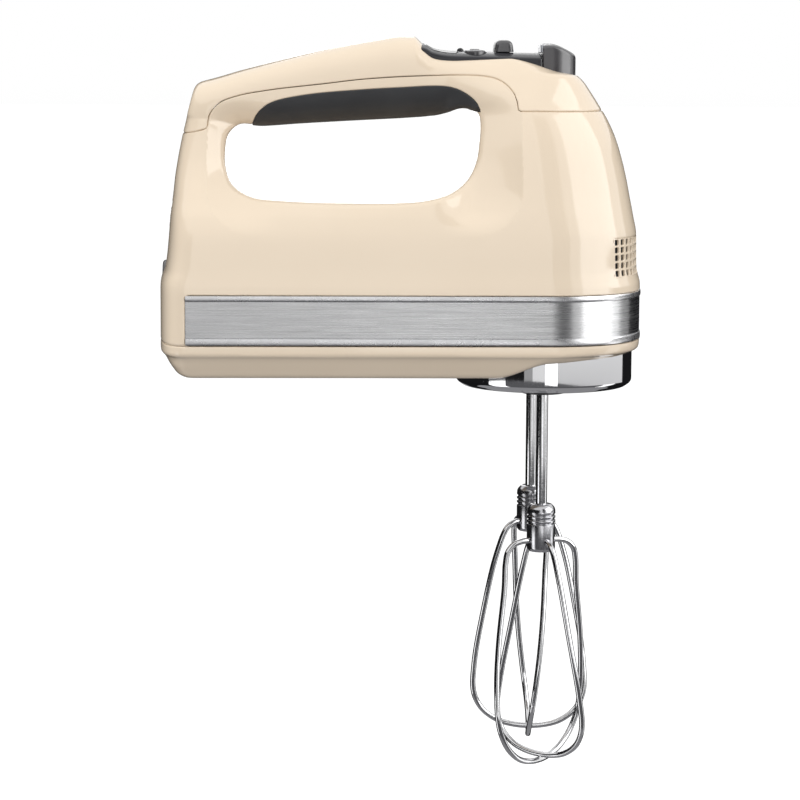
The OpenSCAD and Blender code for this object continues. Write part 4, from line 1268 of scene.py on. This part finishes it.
# Half of a wire's outline: height and distance from the beater's axis
WIRE_BODY = [[-111, 17.4], [-134, 21.5], [-148, 23.6], [-157, 24.4], [-165, 24.6], [-171.5, 23.2],
             [-177.7, 19.6], [-182.6, 13.6], [-184.9, 7], [-185.6, 0], [-184.9, -7], [-182.6, -13.6]]
SQUARE_KNOTS = np.array([[-91, 4.6], [-91.2, 8.6], [-92.4, 12.4], [-95.4, 15.2], [-100, 16.4]] + WIRE_BODY)
SLOPED_KNOTS = np.array([[-91, 4.6], [-91.5, 8], [-93.6, 11.2], [-97, 13.2], [-101.5, 14.8]] + WIRE_BODY)
WHISK_TOP, WHISK_WIDE, WHISK_END, WHISK_TWIST = -92.0, -157.0, 28.6, 20.0
SLEEVE_R, GROOVE_R, SLEEVE_END = 6.0, 5.45, -95.6


def wire_path(knots, turn, twist, lift):
    """One loop of a whisk: down one side, under the axis and up the other side."""
    half = rounded_path(knots, 7)[:(len(knots) - 3) * 7 + 1]
    z, r = np.vstack([half, half[-2::-1] * [1, -1]]).T
    angle = np.radians(turn - twist * (WHISK_WIDE - z) / (WHISK_WIDE - WHISK_TOP))
    raised = lift * np.maximum((WHISK_WIDE - z) / WHISK_END, 0) ** 2
    return np.column_stack([r * np.cos(angle), r * np.sin(angle), z + raised])


def sleeve_outline():
    """The ferrule between shaft and wires, with three grooves."""
    sleeve = [(0.0, -75.4, 0), (2.6, -75.4, 0), (4.3, -75.6, 0.5), (5.9, -77.3, 1.1)]
    for z in (-79.6, -81.4, -83.2):
        sleeve += [(SLEEVE_R, z, 0.15), (GROOVE_R, z - 0.25, 0.1), (GROOVE_R, z - 0.65, 0.1),
                   (SLEEVE_R, z - 0.9, 0.15)]
    return rounded_profile(sleeve + [(SLEEVE_R, -94.3, 0.5), (5.0, SLEEVE_END, 0.3), (0.0, SLEEVE_END, 0)])


def beater(name, side, turn, twist):
    at = np.array([DRIVE_X, side * BEATER_Y, 0])
    wires = [tube(wire_path(SQUARE_KNOTS, turn, twist, 0) + at, WIRE_R),
             tube(wire_path(SLOPED_KNOTS, turn + 90, twist, 2.6) + at, WIRE_R)]
    body = name + "_beater"
    solid(body + "_whisk", joined(*wires), body, "beater_steel", [body + "_wires"])
    solid(body + "_sleeve", lathe(sleeve_outline(), at[0], at[1], 72), body, "ferrule_steel",
          [body + "_ferrule"], 30)
    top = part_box(body + "_shaft")[1].z / MM
    stem = rounded_profile([(0.0, -76.5, 0), (2.4, -76.5, 0), (2.4, top - 0.9, 0.2), (1.7, top, 0.2),
                            (0.0, top, 0)])
    wing, faces = slab(1.5, 3.5, 0.45, -24, -15, 0.15)
    wings = [([(at[0] + flip * p[0], at[1] + p[1], p[2]) for p in wing], faces) for flip in (-1, 1)]
    solid(body + "_stem", joined(lathe(stem, at[0], at[1], 40), *wings), body, "beater_steel",
          [body + "_shaft"], 30)


beater("near", -1, 39.0, WHISK_TWIST)
beater("far", 1, 93.0, -WHISK_TWIST)


# --- room, light and camera


def staged(name, points, faces, material):
    """A sheet of the studio, in metres, that isn't part of the object."""
    mesh = new_mesh(name, points, faces, unit=1)
    mesh.materials.append(material)
    obj = new_object(name, mesh)
    return obj


def paper(name, grey, glow=0.0):
    s = Shader(name, grey, 0.9, Specular_IOR_Level=0.0)
    if glow:
        fill(s.bsdf, Emission_Color=(*grey, 1), Emission_Strength=glow)
    return s.mat


def screen(name, plan, z0, z1, material):
    """An upright card along a line in plan that only shows in reflections."""
    points = [(x, y, z) for z in (z0, z1) for x, y in plan]
    n = len(plan)
    card = staged(name, points, [(k, k + 1, n + k + 1, n + k) for k in range(n - 1)], material)
    card.visible_camera = False
    card.visible_diffuse = False
    card.visible_shadow = False


def softbox(name, centre, facing, size, watts):
    """A soft light that mirrors don't show."""
    light = bpy.data.lights.new(name, "AREA")
    light.shape = "RECTANGLE"
    light.size, light.size_y = size
    light.energy = watts
    obj = new_object(name, light)
    obj.location = centre
    obj.rotation_euler = (Vector(facing) - Vector(centre)).to_track_quat("-Z", "Y").to_euler()
    obj.visible_glossy = False


def arc(radius, start, end, count):
    """Plan points round the object; 0 degrees is towards the camera and 90 past the nose."""
    return [(0.11 + radius * math.sin(math.radians(a)), -radius * math.cos(math.radians(a)))
            for a in np.linspace(start, end, count).tolist()]


FLOOR_Z, FLOOR_HALF = -0.36, 20
floor_corners = [(FLOOR_HALF * s, FLOOR_HALF * t, FLOOR_Z) for s, t in ((-1, -1), (1, -1), (1, 1), (-1, 1))]
floor = staged("floor", floor_corners, [(0, 1, 2, 3)], paper("floor_paper", (0.95, 0.95, 0.95), 0.12))
floor.visible_diffuse = False
floor.visible_glossy = False

# The sky is white from the level of the object up and grey below
world = bpy.data.worlds.new("studio")
bpy.context.scene.world = world
world.use_nodes = True
sky, link = world.node_tree.nodes, world.node_tree.links.new
coords = sky.new("ShaderNodeTexCoord")
split_xyz = sky.new("ShaderNodeSeparateXYZ")
ramp = sky.new("ShaderNodeValToRGB")
lift = sky.new("ShaderNodeMapRange")
fill(lift, From_Min=-1, From_Max=1)
link(coords.outputs["Generated"], split_xyz.inputs["Vector"])
link(split_xyz.outputs["Z"], lift.inputs["Value"])
link(lift.outputs["Result"], ramp.inputs["Fac"])
link(ramp.outputs["Color"], sky["Background"].inputs["Color"])
low_end, high_end = ramp.color_ramp.elements
low_end.position, low_end.color = 0.34, (0.27, 0.27, 0.28, 1)
high_end.position, high_end.color = 0.49, (1.0, 1.0, 1.0, 1)
fill(sky["Background"], Strength=1.0)

PAPERS = {
    "black": paper("black_card", (0.012, 0.012, 0.013)),
    "dim": paper("dim_card", (0.06, 0.06, 0.063), 1.0),
    "dark_grey": paper("dark_grey_card", (0.22, 0.22, 0.22), 0.8),
    "grey": paper("grey_card", (0.5, 0.5, 0.5), 0.8),
    "soft_white": paper("soft_white_card", (0.8, 0.8, 0.8), 0.95),
    "white": paper("white_card", (0.9, 0.9, 0.9), 1.2),
    "bright": paper("bright_card", (0.9, 0.9, 0.9), 2.6),
}
# A card: name, paper, radius, first and last angle, count of points, lower and upper height.
# The cards that end at a height of -0.24 are only seen in the beaters.
for name, card, radius, start, end, count, low, high in (
        ("left_flag", "black", 1.35, -175, -13, 24, -0.14, 0.70),
        ("collar_flag", "black", 1.35, -175, -28, 20, -0.24, -0.14),
        ("collar_shade", "dark_grey", 1.35, -28, -17, 3, -0.24, -0.14),
        ("collar_half_shade", "grey", 1.35, -17, -2, 3, -0.24, -0.14),
        ("centre_flag", "black", 1.33, 9, 29, 5, -0.14, 1.5),
        ("low_reflector", "white", 1.30, -1, 15, 6, -0.24, -0.14),
        ("tall_reflector", "bright", 1.30, 42, 79, 9, -0.085, 1.5),
        ("nose_reflector", "bright", 1.30, 79, 98, 5, 0.02, 1.5),
        ("band_reflector", "bright", 1.30, 50, 79, 8, -0.14, -0.085),
        ("band_flag", "black", 1.28, 85, 118, 8, -0.14, 0.02),
        ("right_rear_flag", "black", 1.35, 118, 176, 10, -1.2, 0.35),
        ("low_left_flag", "black", 1.35, -175, -80, 16, -1.2, -0.24),
        ("low_left_strip", "white", 1.35, -80, -54, 6, -1.2, -0.24),
        ("low_centre_flag", "dim", 1.35, -54, 80, 18, -1.2, -0.24),
        ("low_right_strip", "soft_white", 1.35, 80, 102, 5, -1.2, -0.24),
        ("low_right_flag", "black", 1.35, 102, 118, 5, -1.2, -0.24),
        ("back_card", "white", 1.36, 172, 190, 5, -0.22, 0.8)):
    screen(name, arc(radius, start, end, count), low, high, PAPERS[card])

softbox("key_light", (1.20, -0.78, 0.30), (0.17, 0, 0.05), (0.95, 1.7), 7.5)
softbox("top_light", (0.1, -0.3, 1.9), (0.11, 0, 0.02), (3.0, 2.4), 6)
softbox("left_fill", (-1.7, -0.5, 0.1), (0.1, 0, 0.02), (1.8, 1.8), 14)

CAMERA_AT = (0.0494875, -1.185, 0.1158125)
YAW, PITCH, ROLL = math.radians(2.4849), math.radians(7.2491), math.radians(0.3)
camera_data = bpy.data.cameras.new("camera")
camera_data.lens = 126.6
camera_data.sensor_width = 36.0
camera_data.clip_end = 60
camera = new_object("camera", camera_data)
bpy.context.scene.camera = camera
forward = Vector((math.sin(YAW) * math.cos(PITCH), math.cos(YAW) * math.cos(PITCH), -math.sin(PITCH)))
right = forward.cross(Vector((0, 0, 1))).normalized()
up = right.cross(forward)
right, up = math.cos(ROLL) * right + math.sin(ROLL) * up, math.cos(ROLL) * up - math.sin(ROLL) * right
camera.matrix_world = Matrix.Translation(CAMERA_AT) @ Matrix((right, up, -forward)).transposed().to_4x4()
bpy.context.scene.view_settings.view_transform = "Standard"

bpy.context.view_layer.update()
